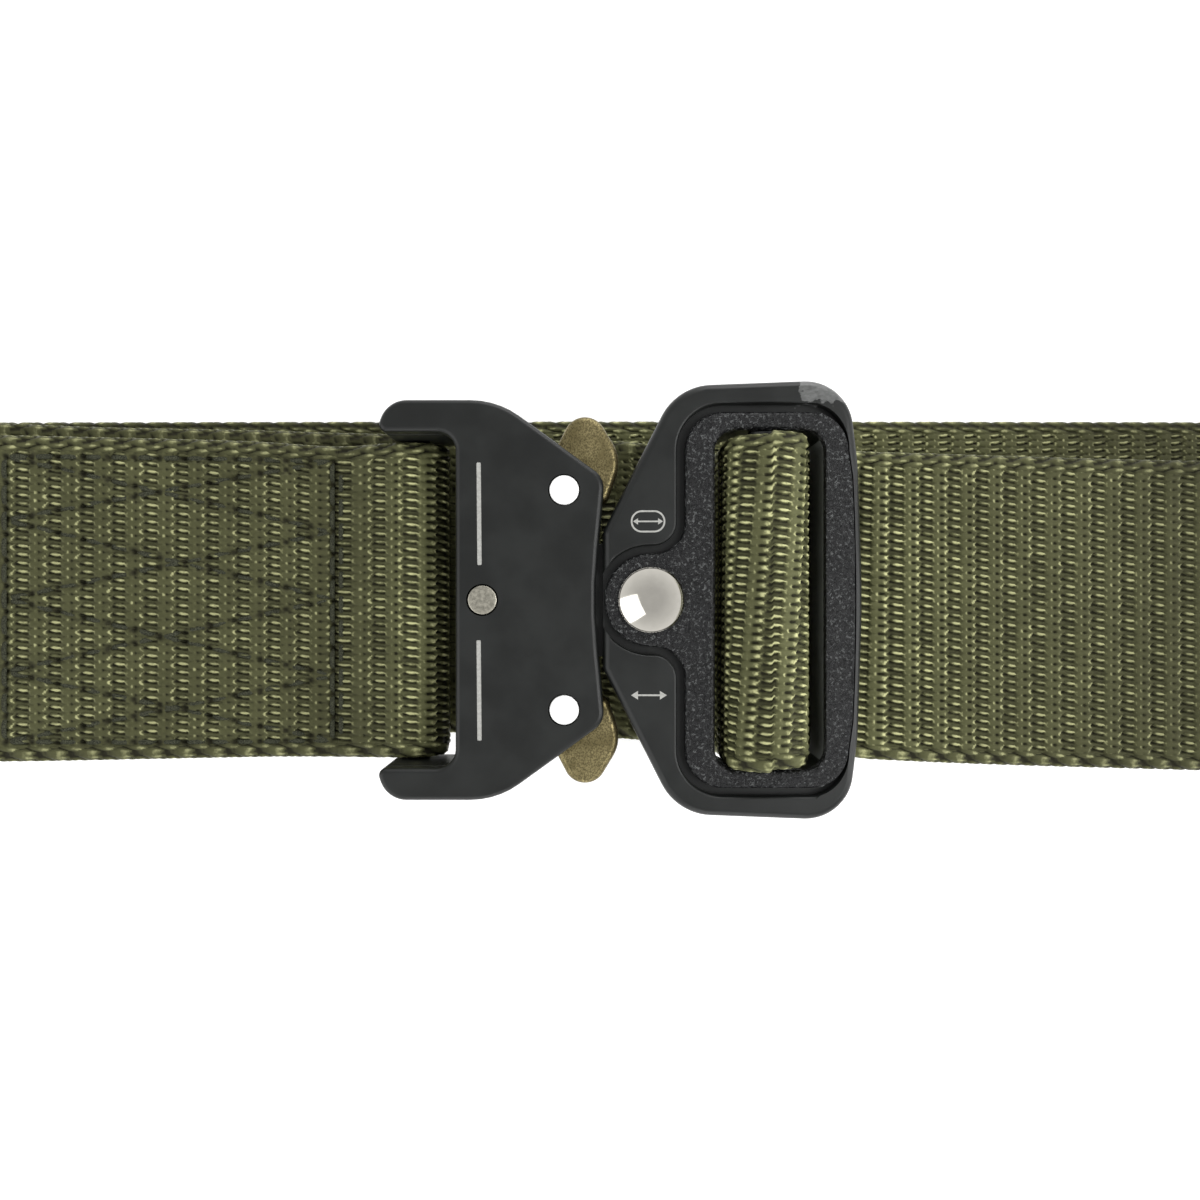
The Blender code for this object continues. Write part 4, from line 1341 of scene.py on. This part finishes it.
        points[:, :, 1] += v
        pattern = np.stack([along, rows / self.weave.row, 0 * along], axis=2)
        shown = side == (2 if inner_shows else 0)
        woven = on_edge | (shown & grade.woven & (np.abs(across) >= grade.fine_from - 1e-6))
        item = self.solid(name, points)
        for key, kind, field_name, values in (
            ("lay", "FLOAT_VECTOR", "vector", pattern), ("tone", "FLOAT", "value", tone),
            ("shade", "FLOAT", "value", self.shade(centre, along)),
            ("woven", "FLOAT", "value", np.broadcast_to(woven, along.shape)),
        ):
            layer = item.data.attributes.new(key, kind, "POINT")
            layer.data.foreach_set(field_name, values.astype(np.float32).ravel())
        item.data.materials.append(WEBBING.material())
        return enter(item, WEBBING, BELT, ["webbing"])

    @staticmethod
    def solid(name: str, points: np.ndarray) -> Item:
        """A closed mesh through rings of points, capped at both ends.

        Args:
            name: The piece's name.
            points: Stations by points by three, in mm.

        Returns:
            The object.
        """
        stations, ring = points.shape[:2]
        at = np.arange(stations * ring).reshape(stations, ring)
        here, there = at[:-1], at[1:]
        next_here, next_there = np.roll(here, -1, axis=1), np.roll(there, -1, axis=1)
        quads = np.stack([here, next_here, next_there, there], axis=2).reshape(-1, 4)
        corners = points.reshape(-1, 3)[quads]
        area = np.cross(corners[:, 2] - corners[:, 0], corners[:, 3] - corners[:, 1])
        outward = float(np.sum(corners.mean(axis=1) * area)) > 0
        faces = (quads if outward else quads[:, ::-1]).tolist()
        ends = [at[0].tolist()[::-1], at[-1].tolist()]
        faces += ends if outward else [end[::-1] for end in ends]
        mesh = bpy.data.meshes.new(name)
        mesh.from_pydata((points.reshape(-1, 3) * MM).tolist(), [], faces)
        mesh.polygons.foreach_set("use_smooth", np.ones(len(mesh.polygons), bool))
        mesh.update()
        item = bpy.data.objects.new(name, mesh)
        bpy.context.scene.collection.objects.link(item)
        return item

    def build(self) -> None:
        """Models every stretch."""
        mark = self.route.mark
        wrap_end = mark(Section.FRONT_LEFT, self.route.join_x)
        wrap_start = mark(Section.BAR_WRAP, share=0.4)
        left = mark(Section.FRONT_LEFT, -self.near)
        left_end = mark(Section.FRONT_LEFT, share=1.0)
        rear_start = mark(Section.REAR, share=0.0)
        rear_left = mark(Section.REAR, -self.rear_near)
        rear_right = mark(Section.REAR, self.rear_near)
        rear_end = mark(Section.REAR, share=1.0)
        right_start = mark(Section.FRONT_RIGHT, share=0.0)
        right = mark(Section.FRONT_RIGHT, self.near)
        rise = mark(Section.RISE, share=0.0)
        up = mark(Section.RISE, share=1.0)
        down = mark(Section.FALL, share=0.0)
        tail = mark(Section.TAIL, share=0.0)
        pieces = [
            ("strap_flap", mark(Section.FLAP, share=0.0), wrap_start, COARSE, False),
            ("strap_bar_wrap", wrap_start, wrap_end, FINE, False),
            (self.sewn, wrap_end, left, FINE, False),
            ("strap_far_left", left, left_end, COARSE, False),
            ("strap_fold_left", left_end, rear_start, COARSE, False),
            ("strap_rear_left", rear_start, rear_left, COARSE, True),
            ("strap_rear", rear_left, rear_right, EDGE_FINE, True),
            ("strap_rear_right", rear_right, rear_end, COARSE, True),
            ("strap_fold_right", rear_end, right_start, COARSE, False),
            ("strap_far_right", right_start, right, COARSE, False),
            ("strap_front_right", right, rise, FINE, False),
            ("strap_rise", rise, up, COARSE, False),
            ("strap_slide_wrap", up, down, FINE, False),
            ("strap_fall", down, tail, COARSE, False),
            ("strap_tail", tail, mark(Section.TAIL, share=1.0), EDGE_HALF, False),
        ]
        for name, start, end, grade, inner_shows in pieces:
            self.stretch(name, start, end, grade, inner_shows)


@dataclass(frozen=True)
class BuckleLevels:
    """Heights in mm that the buckle's pieces share."""

    housing_low: float = 19.3
    lever_floor: float = 25.2
    lever_low: float = 25.5
    lever_high: float = 28.7
    cover_low: float = 29.0
    top: float = 31.3
    frame_low: float = 21.3
    bed: float = 29.7
    ring_low: float = 29.75
    ring_high: float = 31.2


LEVELS = BuckleLevels()
PIVOTS = ((-4.1, 12.6), (-4.1, -12.6))
REAR_RIVET = (-13.5, 0.0)
BOSS_X = 5.85


@dataclass(frozen=True)
class Housing:
    """The buckle's housing: a lower body with two arms and the strap's bar, and a cover plate."""

    corners: tuple = (
        (-0.8, 0, 60), (0.55, 14.05, 2.5), (-11.8, 23.0, 9.5), (-24.5, 23.0, 3.2), (-25.75, 19.3, 0.85),
    )
    slot_x: float = -16.6
    slot_y: float = 19.3
    cover_slot_corner: float = 2.2
    body_slot_corner: float = 1.3
    room_left: float = -11.9
    bar: tuple[float, float, float] = (-22.9, 20.75, 1.75)  # x, z and radius of the strap's bar
    rounding: float = 0.60
    head_hole: float = 1.83
    shank_hole: float = 1.35
    line_x: float = -13.85
    line_wide: float = 0.50
    line_lean: float = 0.10  # mm that each engraved line leans to the right from top to bottom
    line_corner: float = 0.12
    line_spans: tuple = ((15.75, 4.0), (-4.6, -16.1))

    def outline(self, slot_corner: float) -> Outline:
        """Outline seen from above."""
        return rounded(mirrored(self.corners + ((self.slot_x, self.slot_y, slot_corner),)))

    def build(self) -> None:
        """Models the cover, the lower body, the bar and the two engraved lines."""
        self.cover()
        self.body()
        self.strap_bar()

    def line(self, name: str, span: tuple[float, float], grow: float, low: float, high: float) -> Item:
        """A strip along one engraved line."""
        top, bottom = span
        half = self.line_wide / 2 + grow
        lean = self.line_lean / 2
        corners = [
            (self.line_x - lean - half, top + grow), (self.line_x + lean - half, bottom - grow),
            (self.line_x + lean + half, bottom - grow), (self.line_x - lean + half, top + grow),
        ]
        return Bench.blank(name, rounded([(*corner, self.line_corner) for corner in corners], 30), low, high)

    def cover(self) -> None:
        """The cover plate, with rounded edges, a hole for each rivet's head and two engraved lines."""
        outline = self.outline(self.cover_slot_corner)
        item = Bench.blank("housing_cover", outline, LEVELS.cover_low, LEVELS.top)
        Bench.round_edges(item, self.rounding, 5, lambda middle, wall: middle.z > LEVELS.top - TOUCH)
        Bench.round_edges(item, 0.3, 2, lambda middle, wall: middle.z < LEVELS.cover_low + TOUCH)
        for x, y in (*PIVOTS, REAR_RIVET):
            Bench.bore(item, x, y, self.head_hole, LEVELS.cover_low, LEVELS.top, 64)
        for span in self.line_spans:
            Bench.cut(item, self.line("groove", span, 0.03, LEVELS.top - 0.18, LEVELS.top + 0.5))
        Bench.dress(item, PAINT, BELT, ["housing_top"], 30)
        for name, span in zip(("engraved_line_upper", "engraved_line_lower"), self.line_spans):
            strip = self.line(name, span, 0.0, LEVELS.top - 0.20, LEVELS.top - 0.05)
            Bench.dress(strip, SILVER)

    def body(self) -> None:
        """The lower body, open to both sides where the levers turn."""
        outline = self.outline(self.body_slot_corner)
        item = Bench.blank("housing_body", outline, LEVELS.housing_low, LEVELS.lever_high)
        Bench.round_edges(item, 0.5, 3, lambda middle, wall: True)
        room = Bench.block("room", (self.room_left, -30, LEVELS.lever_floor), (9, 30, LEVELS.lever_high + 1))
        Bench.cut(item, room)
        for x, y in (*PIVOTS, REAR_RIVET):
            Bench.bore(item, x, y, self.shank_hole, LEVELS.housing_low, LEVELS.lever_high)
        Bench.dress(item, PAINT, BELT, ["housing_base"], 30)

    def strap_bar(self) -> None:
        """The bar between the arms, broadened to a collar at each arm."""
        x, z, radius = self.bar
        Bench.drop()
        bpy.ops.mesh.primitive_cylinder_add(
            vertices=48, radius=radius * MM, depth=2 * (self.slot_y + 0.6) * MM, location=(x * MM, 0, z * MM),
            rotation=(math.pi / 2, 0, 0),
        )
        item = Bench.settle(Bench.made("strap_bar"))
        Bench.round_edges(item, 0.25, 3, lambda middle, wall: abs(middle.y) > self.slot_y + 0.5)
        Bench.dress(item, PAINT, BELT, ["housing_base"])


@dataclass(frozen=True)
class Lever:
    """One brass release lever: an ear outside the housing, and a claw inside."""

    name: str
    side: int  # 1 for the upper lever, -1 for the lower
    corners: tuple = (
        (0.9, 11.6, 0.8), (2.6, 16.6, 4.5), (-1.95, 24.1, 2.5), (-5.6, 17.0, 6.0), (-7.4, 11.5, 3.0),
        (-8.6, 5.2, 0.3), (-6.9, 5.2, 0.3), (-5.4, 9.2, 2.0),
    )
    rounding: float = 0.70
    outside: float = 9.5  # mm from the middle beyond which the ear's edges are rounded
    shank_hole: float = 1.35

    def build(self) -> None:
        """Models the lever, with soft edges and the hole for its rivet."""
        outline = rounded(self.corners, 6)
        if self.side < 0:
            outline = [(x, -y) for x, y in reversed(outline)]
        item = Bench.blank(f"{self.name}_ear", outline, LEVELS.lever_low, LEVELS.lever_high)
        Bench.round_edges(item, self.rounding, 4, self.soft)
        x, y = PIVOTS[0 if self.side > 0 else 1]
        Bench.bore(item, x, y, self.shank_hole, LEVELS.lever_low, LEVELS.lever_high)
        Bench.dress(item, BRASS, self.name, [self.name], 35)

    def soft(self, middle: Vector, wall: Vector) -> bool:
        """Whether an edge bounds the ear's top or underside."""
        flat = middle.z > LEVELS.lever_high - TOUCH or middle.z < LEVELS.lever_low + TOUCH
        return flat and abs(middle.y) > self.outside


@dataclass(frozen=True)
class Rivet:
    """A flush rivet: its head in the cover plate and its shank down through the body."""

    name: str
    x: float
    y: float
    top: float
    finish: Finish
    head: float = 1.70
    shank: float = 1.2
    dish: float = 0.0  # depth of the head's turned hollow, in mm
    rim: float = 0.55  # the flat ring round that hollow, in mm
    slope: float = 0.45  # the ring that slopes down to its floor
    seat: float = 0.05  # how far the head stands off the cover's underside

    def build(self) -> None:
        """Turns the rivet."""
        under = LEVELS.cover_low + self.seat
        item = Bench.post(f"{self.name}_head", self.x, self.y, self.head, under, self.top, 72)
        with Editing(item):
            Bench.choose(item, "FACE", lambda face: face.normal.z < -0.9)
            bpy.ops.mesh.inset(thickness=(self.head - self.shank) * MM)
            Bench.extrude(-(under - LEVELS.housing_low))
            if self.dish:
                Bench.choose(item, "FACE", lambda face: face.normal.z > 0.9)
                bpy.ops.mesh.inset(thickness=self.rim * MM)
                bpy.ops.mesh.inset(thickness=self.slope * MM)
                bpy.ops.transform.translate(value=(0, 0, -self.dish * MM))
        Bench.round_edges(item, 0.14, 3, lambda middle, wall: middle.z > self.top - TOUCH)
        Bench.dress(item, self.finish, BELT, [self.name], 50)


@dataclass(frozen=True)
class AdjusterFrame:
    """The adjuster frame: its rim round a sunk bed, the textured ring in the bed, and the tongue."""

    corners: tuple = (
        (0.35, 7.9, 1.5), (8.85, 24.65, 6.6), (28.5, 25.4, 5.5), (29.7, 15.5, 25), (30.2, 0, 120),
    )
    middle_x: float = 17.0  # from here the walls are told apart as facing outwards or inwards
    right_from: float = 25.0  # x beyond which the ring's and the rim's right sides lie
    slot: tuple = ((25.9, 19.55, 2.4), (13.2, 19.55, 2.4))
    boss: float = 5.35
    neck: tuple[float, float, float] = (6.15, 8.945, 3.6)  # x, y and radius
    ring_half: float = 21.6
    ring_right: float = 29.3
    ring_corner: float = 4.4
    bulge: float = 0.8
    groove: float = 0.95
    side_groove: float = 0.06
    outer_rounding: float = 0.9
    groove_rounding: float = 0.30
    shank_hole: float = 1.45
    slide_x: float = 19.3
    socket_half: float = 2.0
    socket_low: float = 26.7
    socket_end: float = 21.3
    painted_light_low: float = 21.5
    steps: int = 14  # faces round each of the ring's corners
    side: tuple[float, ...] = (14, 11, 8, 5, 2.5, 0)  # y of the points down the bowed right side
    tongue: tuple = (
        (3, 6.6), (-6.3, 6.6), (-6.3, 4.9), (-10.2, 4.9), (-10.2, 6.6), (-11.0, 6.6), (-11.5, 5.1),
    )

    def build(self) -> None:
        """Models the frame, the tongue and the ring."""
        self.body()
        self.ring()
        tongue = Bench.blank("frame_tongue", mirrored(self.tongue), 25.5, 28.6)
        Bench.round_edges(tongue, 0.25, 2, lambda middle, wall: True)
        Bench.dress(tongue, PAINT, BELT, ["frame_body"], 30)

    def neck_outline(self, grow: float, right: Outline) -> Outline:
        """Half outline round the ring and its boss, grown outwards by a margin."""
        neck_x, neck_y, neck_radius = self.neck
        left, top = neck_x + neck_radius - grow, self.ring_half + grow
        corner = self.ring_corner + grow
        touch = math.degrees(math.atan2(neck_y, neck_x - BOSS_X))
        half = arc(BOSS_X, 0, self.boss + grow, 180, touch, 18)
        half += arc(neck_x, neck_y, neck_radius - grow, touch - 180, 0, self.steps)[1:]
        half += arc(left + corner, top - corner, corner, 180, 90, self.steps)
        return half + right

    def ring_outline(self) -> Outline:
        """Outline of the ring, its right side slightly bowed."""
        return mirrored(self.neck_outline(0, self.right_side(0, 0)))

    def right_side(self, over: float, beside: float) -> Outline:
        """Half outline round the ring's right corner and side, a margin above it and another beside it."""
        x, y = self.ring_right - self.bulge - self.ring_corner, self.ring_half - self.ring_corner
        outline: Outline = []
        for step in range(self.steps + 1):
            margin = over + (beside - over) * float(ease(step / self.steps))
            outline += arc(x, y, self.ring_corner + margin, 90 - 90 * step / self.steps, 0, 1)[:1]
        right = self.ring_right + beside
        return outline + [(right - self.bulge * (y / self.ring_half) ** 2, y) for y in self.side]

    def cut_slot(self, item: Item, low: float, high: float) -> None:
        """Cuts the strap's window, 1 mm past two heights."""
        Bench.cut(item, Bench.blank("slot", rounded(mirrored(self.slot)), low - 1, high + 1))

    def bore_shank(self, item: Item) -> None:
        """Cuts the domed rivet's hole."""
        Bench.bore(item, BOSS_X, 0, self.shank_hole, LEVELS.frame_low, LEVELS.top)

    def body(self) -> None:
        """The frame with its rim, broadly rounded outside and crisp at the groove."""
        outline = rounded(mirrored(self.corners), 5)[::-1]
        item = Bench.blank("frame_rim", outline, LEVELS.frame_low, LEVELS.top)
        Bench.round_edges(item, self.outer_rounding, 6, self.rim_outside)
        self.cut_slot(item, LEVELS.frame_low, LEVELS.top)
        bed = self.neck_outline(self.groove, self.right_side(self.groove, self.side_groove))
        Bench.cut(item, Bench.blank("bed", mirrored(bed), LEVELS.bed, LEVELS.top + 1))
        for side in (-1, 1):
            near, far = sorted((side * (self.slot[0][1] - 1), side * self.socket_end))
            low = (self.slide_x - self.socket_half, near, self.socket_low)
            high = (self.slide_x + self.socket_half, far, LEVELS.bed + 0.5)
            Bench.cut(item, Bench.block("socket", low, high))
        self.bore_shank(item)
        Bench.tidy(item)
        Bench.round_edges(item, 0.5, 3, self.underside)
        Bench.round_edges(item, self.groove_rounding, 3, self.rim_inside)
        Bench.dress(item, WORN_PAINT_WITH_SHEEN, BELT, ["frame_body"], 30)
        # The slot's right wall takes the lighter paint as painted light.
        item.data.materials.append(LIT_WALL.material())
        for face in item.data.polygons:
            if self.painted_lit(face.center / MM, face.normal):
                face.material_index = 1

    def painted_lit(self, centre: Vector, normal: Vector) -> bool:
        """Whether a face is part of the slot's right wall, which is painted lighter as painted light."""
        on_wall = abs(centre.x - self.slot[0][0]) < 0.5 and centre.z > self.painted_light_low
        return normal.x < -0.7 and on_wall

    def outward(self, middle: Vector, wall: Vector) -> bool:
        """Whether a wall faces away from the frame's middle."""
        return wall.x * (middle.x - self.middle_x) + wall.y * middle.y > 0

    def rim_outside(self, middle: Vector, wall: Vector) -> bool:
        """Whether an edge is the rim's outer upper edge."""
        return middle.z > LEVELS.top - TOUCH and self.outward(middle, wall)

    def rim_inside(self, middle: Vector, wall: Vector) -> bool:
        """Whether an edge is the rim's upper edge along the groove."""
        at_top = middle.z > LEVELS.top - TOUCH
        return at_top and middle.x < self.right_from and not self.outward(middle, wall)

    @staticmethod
    def underside(middle: Vector, wall: Vector) -> bool:
        """Whether an edge bounds the frame's underside, the rivet's hole left out."""
        return middle.z < LEVELS.frame_low + TOUCH and math.hypot(middle.x - BOSS_X, middle.y) > 2

    def ring(self) -> None:
        """The textured ring, with a hole for the domed rivet."""
        item = Bench.blank("textured_ring", self.ring_outline(), LEVELS.ring_low, LEVELS.ring_high)
        self.cut_slot(item, LEVELS.ring_low, LEVELS.ring_high)
        Bench.tidy(item)
        top, right = LEVELS.ring_high - TOUCH, self.right_from
        Bench.round_edges(item, 0.50, 5, lambda middle, wall: middle.z > top and middle.x < right)
        Bench.round_edges(item, 0.14, 2, lambda middle, wall: middle.z > top and middle.x > right)
        self.bore_shank(item)
        Bench.dress(item, TEXTURED, BELT, ["frame_ring"], 30)


@dataclass(frozen=True)
class Dome:
    """The polished domed rivet."""

    radius: float = 3.7
    low: float = 31.5
    rim: float = 0.25
    rise: float = 1.35
    shank: float = 1.3
    shank_low: float = 21.5

    def build(self) -> None:
        """Cuts the cap from a sphere, draws its rim down and adds the shank."""
        sphere = (self.radius**2 + self.rise**2) / (2 * self.rise)
        base = self.low + self.rim
        centre = base + self.rise - sphere
        Bench.drop()
        bpy.ops.mesh.primitive_uv_sphere_add(
            segments=96, ring_count=128, radius=sphere * MM, location=(BOSS_X * MM, 0, centre * MM)
        )
        item = Bench.settle(Bench.made("dome_cap"))
        with Editing(item):
            bpy.ops.mesh.select_all(action="SELECT")
            bpy.ops.mesh.bisect(
                plane_co=(BOSS_X * MM, 0, base * MM), plane_no=(0, 0, 1), use_fill=True, clear_inner=True
            )
            Bench.choose(item, "FACE", lambda face: face.normal.z < -0.9)
            Bench.extrude(-self.rim)
            bpy.ops.mesh.inset(thickness=(self.radius - self.shank) * MM)
            Bench.extrude(self.shank_low - self.low)
            Bench.face_outwards()
        Bench.round_edges(item, 0.1, 3, lambda middle, wall: abs(middle.z - base) < 2 * TOUCH)
        Bench.dress(item, POLISHED, BELT, ["dome_rivet"], 60)


@dataclass(frozen=True)
class LoadMarks:
    """The two load arrows on the frame: one along the belt in an oval, and one that stands alone."""

    low: float = 31.29
    high: float = 31.33
    oval: tuple[float, float, float, float] = (5.5, 9.0, 3.96, 2.53)  # x, y, width and height
    line: float = 0.20
    upper: tuple[float, ...] = (5.5, 9.0, 3.40, 0.18)  # x, y, length and width of the bar
    upper_head: tuple[float, float] = (0.55, 0.74)
    lower: tuple[float, ...] = (5.6, -10.9, 4.1, 0.20)
    lower_head: tuple[float, float] = (0.80, 1.0)

    @staticmethod
    def arrow(x: float, y: float, long: float, bar: float, head: tuple[float, float]) -> Outline:
        """Outline of a double-headed arrow along X."""
        deep, wide = head
        neck = long / 2 - deep
        right = [(neck, -bar / 2), (neck, -wide / 2), (long / 2, 0), (neck, wide / 2), (neck, bar / 2)]
        return [(x + px, y + py) for px, py in right + [(-px, -py) for px, py in right]]

    def oblong(self, inset: float) -> Outline:
        """Outline of the oval, drawn in by a distance."""
        x, y, wide, tall = self.oval
        wide, tall = wide - 2 * inset, tall - 2 * inset
        signs = ((1, 1), (-1, 1), (-1, -1), (1, -1))
        return rounded([(x + sx * wide / 2, y + sy * tall / 2, tall / 2 - TOUCH) for sx, sy in signs], 10)

    def build(self) -> None:
        """Models the marks as thin fillings on the frame's top."""
        oval = Bench.blank("mark_oval", self.oblong(0), self.low, self.high)
        Bench.cut(oval, Bench.blank("hole", self.oblong(self.line), self.low - 0.1, self.high + 0.1))
        Bench.dress(oval, SILVER)
        for name, place, head in (
            ("mark_arrow_upper", self.upper, self.upper_head),
            ("mark_arrow_lower", self.lower, self.lower_head),
        ):
            Bench.dress(Bench.blank(name, self.arrow(*place, head), self.low, self.high), SILVER)


def dress_slide_bar() -> None:
    """Paints the slide bar, whose CAD shape is kept."""
    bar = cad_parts["slide_bar"]
    for slot in bar.material_slots:
        slot.material = PAINT.material()


@dataclass(frozen=True)
class Lamp:
    """A square lamp that faces the buckle."""

    name: str
    azimuth: float  # degrees
    lift: float  # degrees above the surface
    power: float  # watts
    size: float  # metres
    on_dome: bool = False  # whether the domed rivet reflects it
    away: float = 0.80  # metres

    def hang(self) -> Item:
        """Hangs the lamp."""
        turn, up = math.radians(self.azimuth), math.radians(self.lift)
        ray = Vector((math.cos(turn) * math.cos(up), math.sin(turn) * math.cos(up), math.sin(up)))
        lamp = bpy.data.lights.new(self.name, "AREA")
        lamp.shape = "SQUARE"
        lamp.size = self.size
        lamp.energy = self.power
        item = bpy.data.objects.new(self.name, lamp)
        bpy.context.scene.collection.objects.link(item)
        item.location = ray * self.away
        item.rotation_euler = (-item.location).to_track_quat("-Z", "Y").to_euler()
        return item


@dataclass(frozen=True)
class Studio:
    """The white surface, the lights and the camera."""

    lens: float = 32.34
    sky: float = 0.50
    horizon: float = 0.90
    ramp_end: float = 0.9  # height on the sky, from 0 to 1, from which it is darkest
    lamps: tuple[Lamp, ...] = (
        Lamp("lamp_back", 75, 26, 3.0, 0.5), Lamp("lamp_right", -8, 22, 1.7, 0.4),
        Lamp("lamp_high", -5, 56, 2.5, 0.4), Lamp("lamp_front", -90, 24, 1.4, 0.4),
        Lamp("window", 204, 40, 2.8, 0.8, on_dome=True),
    )

    def build(self) -> None:
        """Sets everything up."""
        self.lay_floor()
        self.light_sky()
        shaded = bpy.data.collections.new("kept out of the lamps' light")
        shaded.objects.link(bpy.data.objects["dome_cap"])
        for lamp in self.lamps:
            item = lamp.hang()
            if not lamp.on_dome:
                item.light_linking.receiver_collection = shaded
        shaded.collection_objects[0].light_linking.link_state = "EXCLUDE"
        self.place_camera()

    def lay_floor(self) -> None:
        """A wide plane just under the belt."""
        Bench.drop()
        bpy.ops.mesh.primitive_plane_add(size=6.0, location=(0, 0, -0.2 * MM))
        floor = Bench.settle(bpy.context.object)
        floor.name = floor.data.name = "floor"
        floor.data.materials.append(FLOOR.material())

    def light_sky(self) -> None:
        """A grey sky, darker overhead than at the horizon."""
        world = bpy.data.worlds.new("soft sky")
        bpy.context.scene.world = world
        world.use_nodes = True
        tree = world.node_tree
        back = tree.nodes["Background"]
        coordinate = tree.nodes.new("ShaderNodeTexCoord")
        parts = tree.nodes.new("ShaderNodeSeparateXYZ")
        ramp = tree.nodes.new("ShaderNodeMapRange")
        tree.links.new(coordinate.outputs["Generated"], parts.inputs[0])
        tree.links.new(parts.outputs[2], ramp.inputs["Value"])
        for name, value in (
            ("From Min", 0.0), ("From Max", self.ramp_end), ("To Min", self.horizon), ("To Max", self.sky),
        ):
            ramp.inputs[name].default_value = value
        tree.links.new(ramp.outputs[0], back.inputs["Strength"])
        back.inputs["Color"].default_value = (1.0, 1.0, 1.0, 1.0)

    def place_camera(self) -> None:
        """The camera, straight above and looking down, with +Y upwards in the picture."""
        data = bpy.data.cameras.new("camera")
        data.lens = self.lens
        data.sensor_width = 36.0
        data.clip_start = 0.001
        camera = bpy.data.objects.new("camera", data)
        bpy.context.scene.collection.objects.link(camera)
        camera.location = (0, 0, CAMERA_HEIGHT * MM)
        bpy.context.scene.camera = camera
        bpy.context.scene.view_settings.view_transform = "Standard"


def main() -> None:
    """Builds every part."""
    logging.basicConfig(level=logging.INFO, format="%(name)s: %(message)s")
    stitching = Stitching()
    route = StrapRoute()
    Webbing(route, Weave(), stitching).build()
    stitching.build(route)
    Housing().build()
    Lever("lever_upper", 1).build()
    Lever("lever_lower", -1).build()
    Rivet("pivot_rivet_upper", *PIVOTS[0], LEVELS.top, FLUSH).build()
    Rivet("pivot_rivet_lower", *PIVOTS[1], LEVELS.top, FLUSH).build()
    Rivet("rear_rivet", *REAR_RIVET, LEVELS.top - 0.1, BRUSHED, dish=0.04).build()
    AdjusterFrame().build()
    Dome().build()
    LoadMarks().build()
    dress_slide_bar()
    Studio().build()


if __name__ == "__main__":
    main()
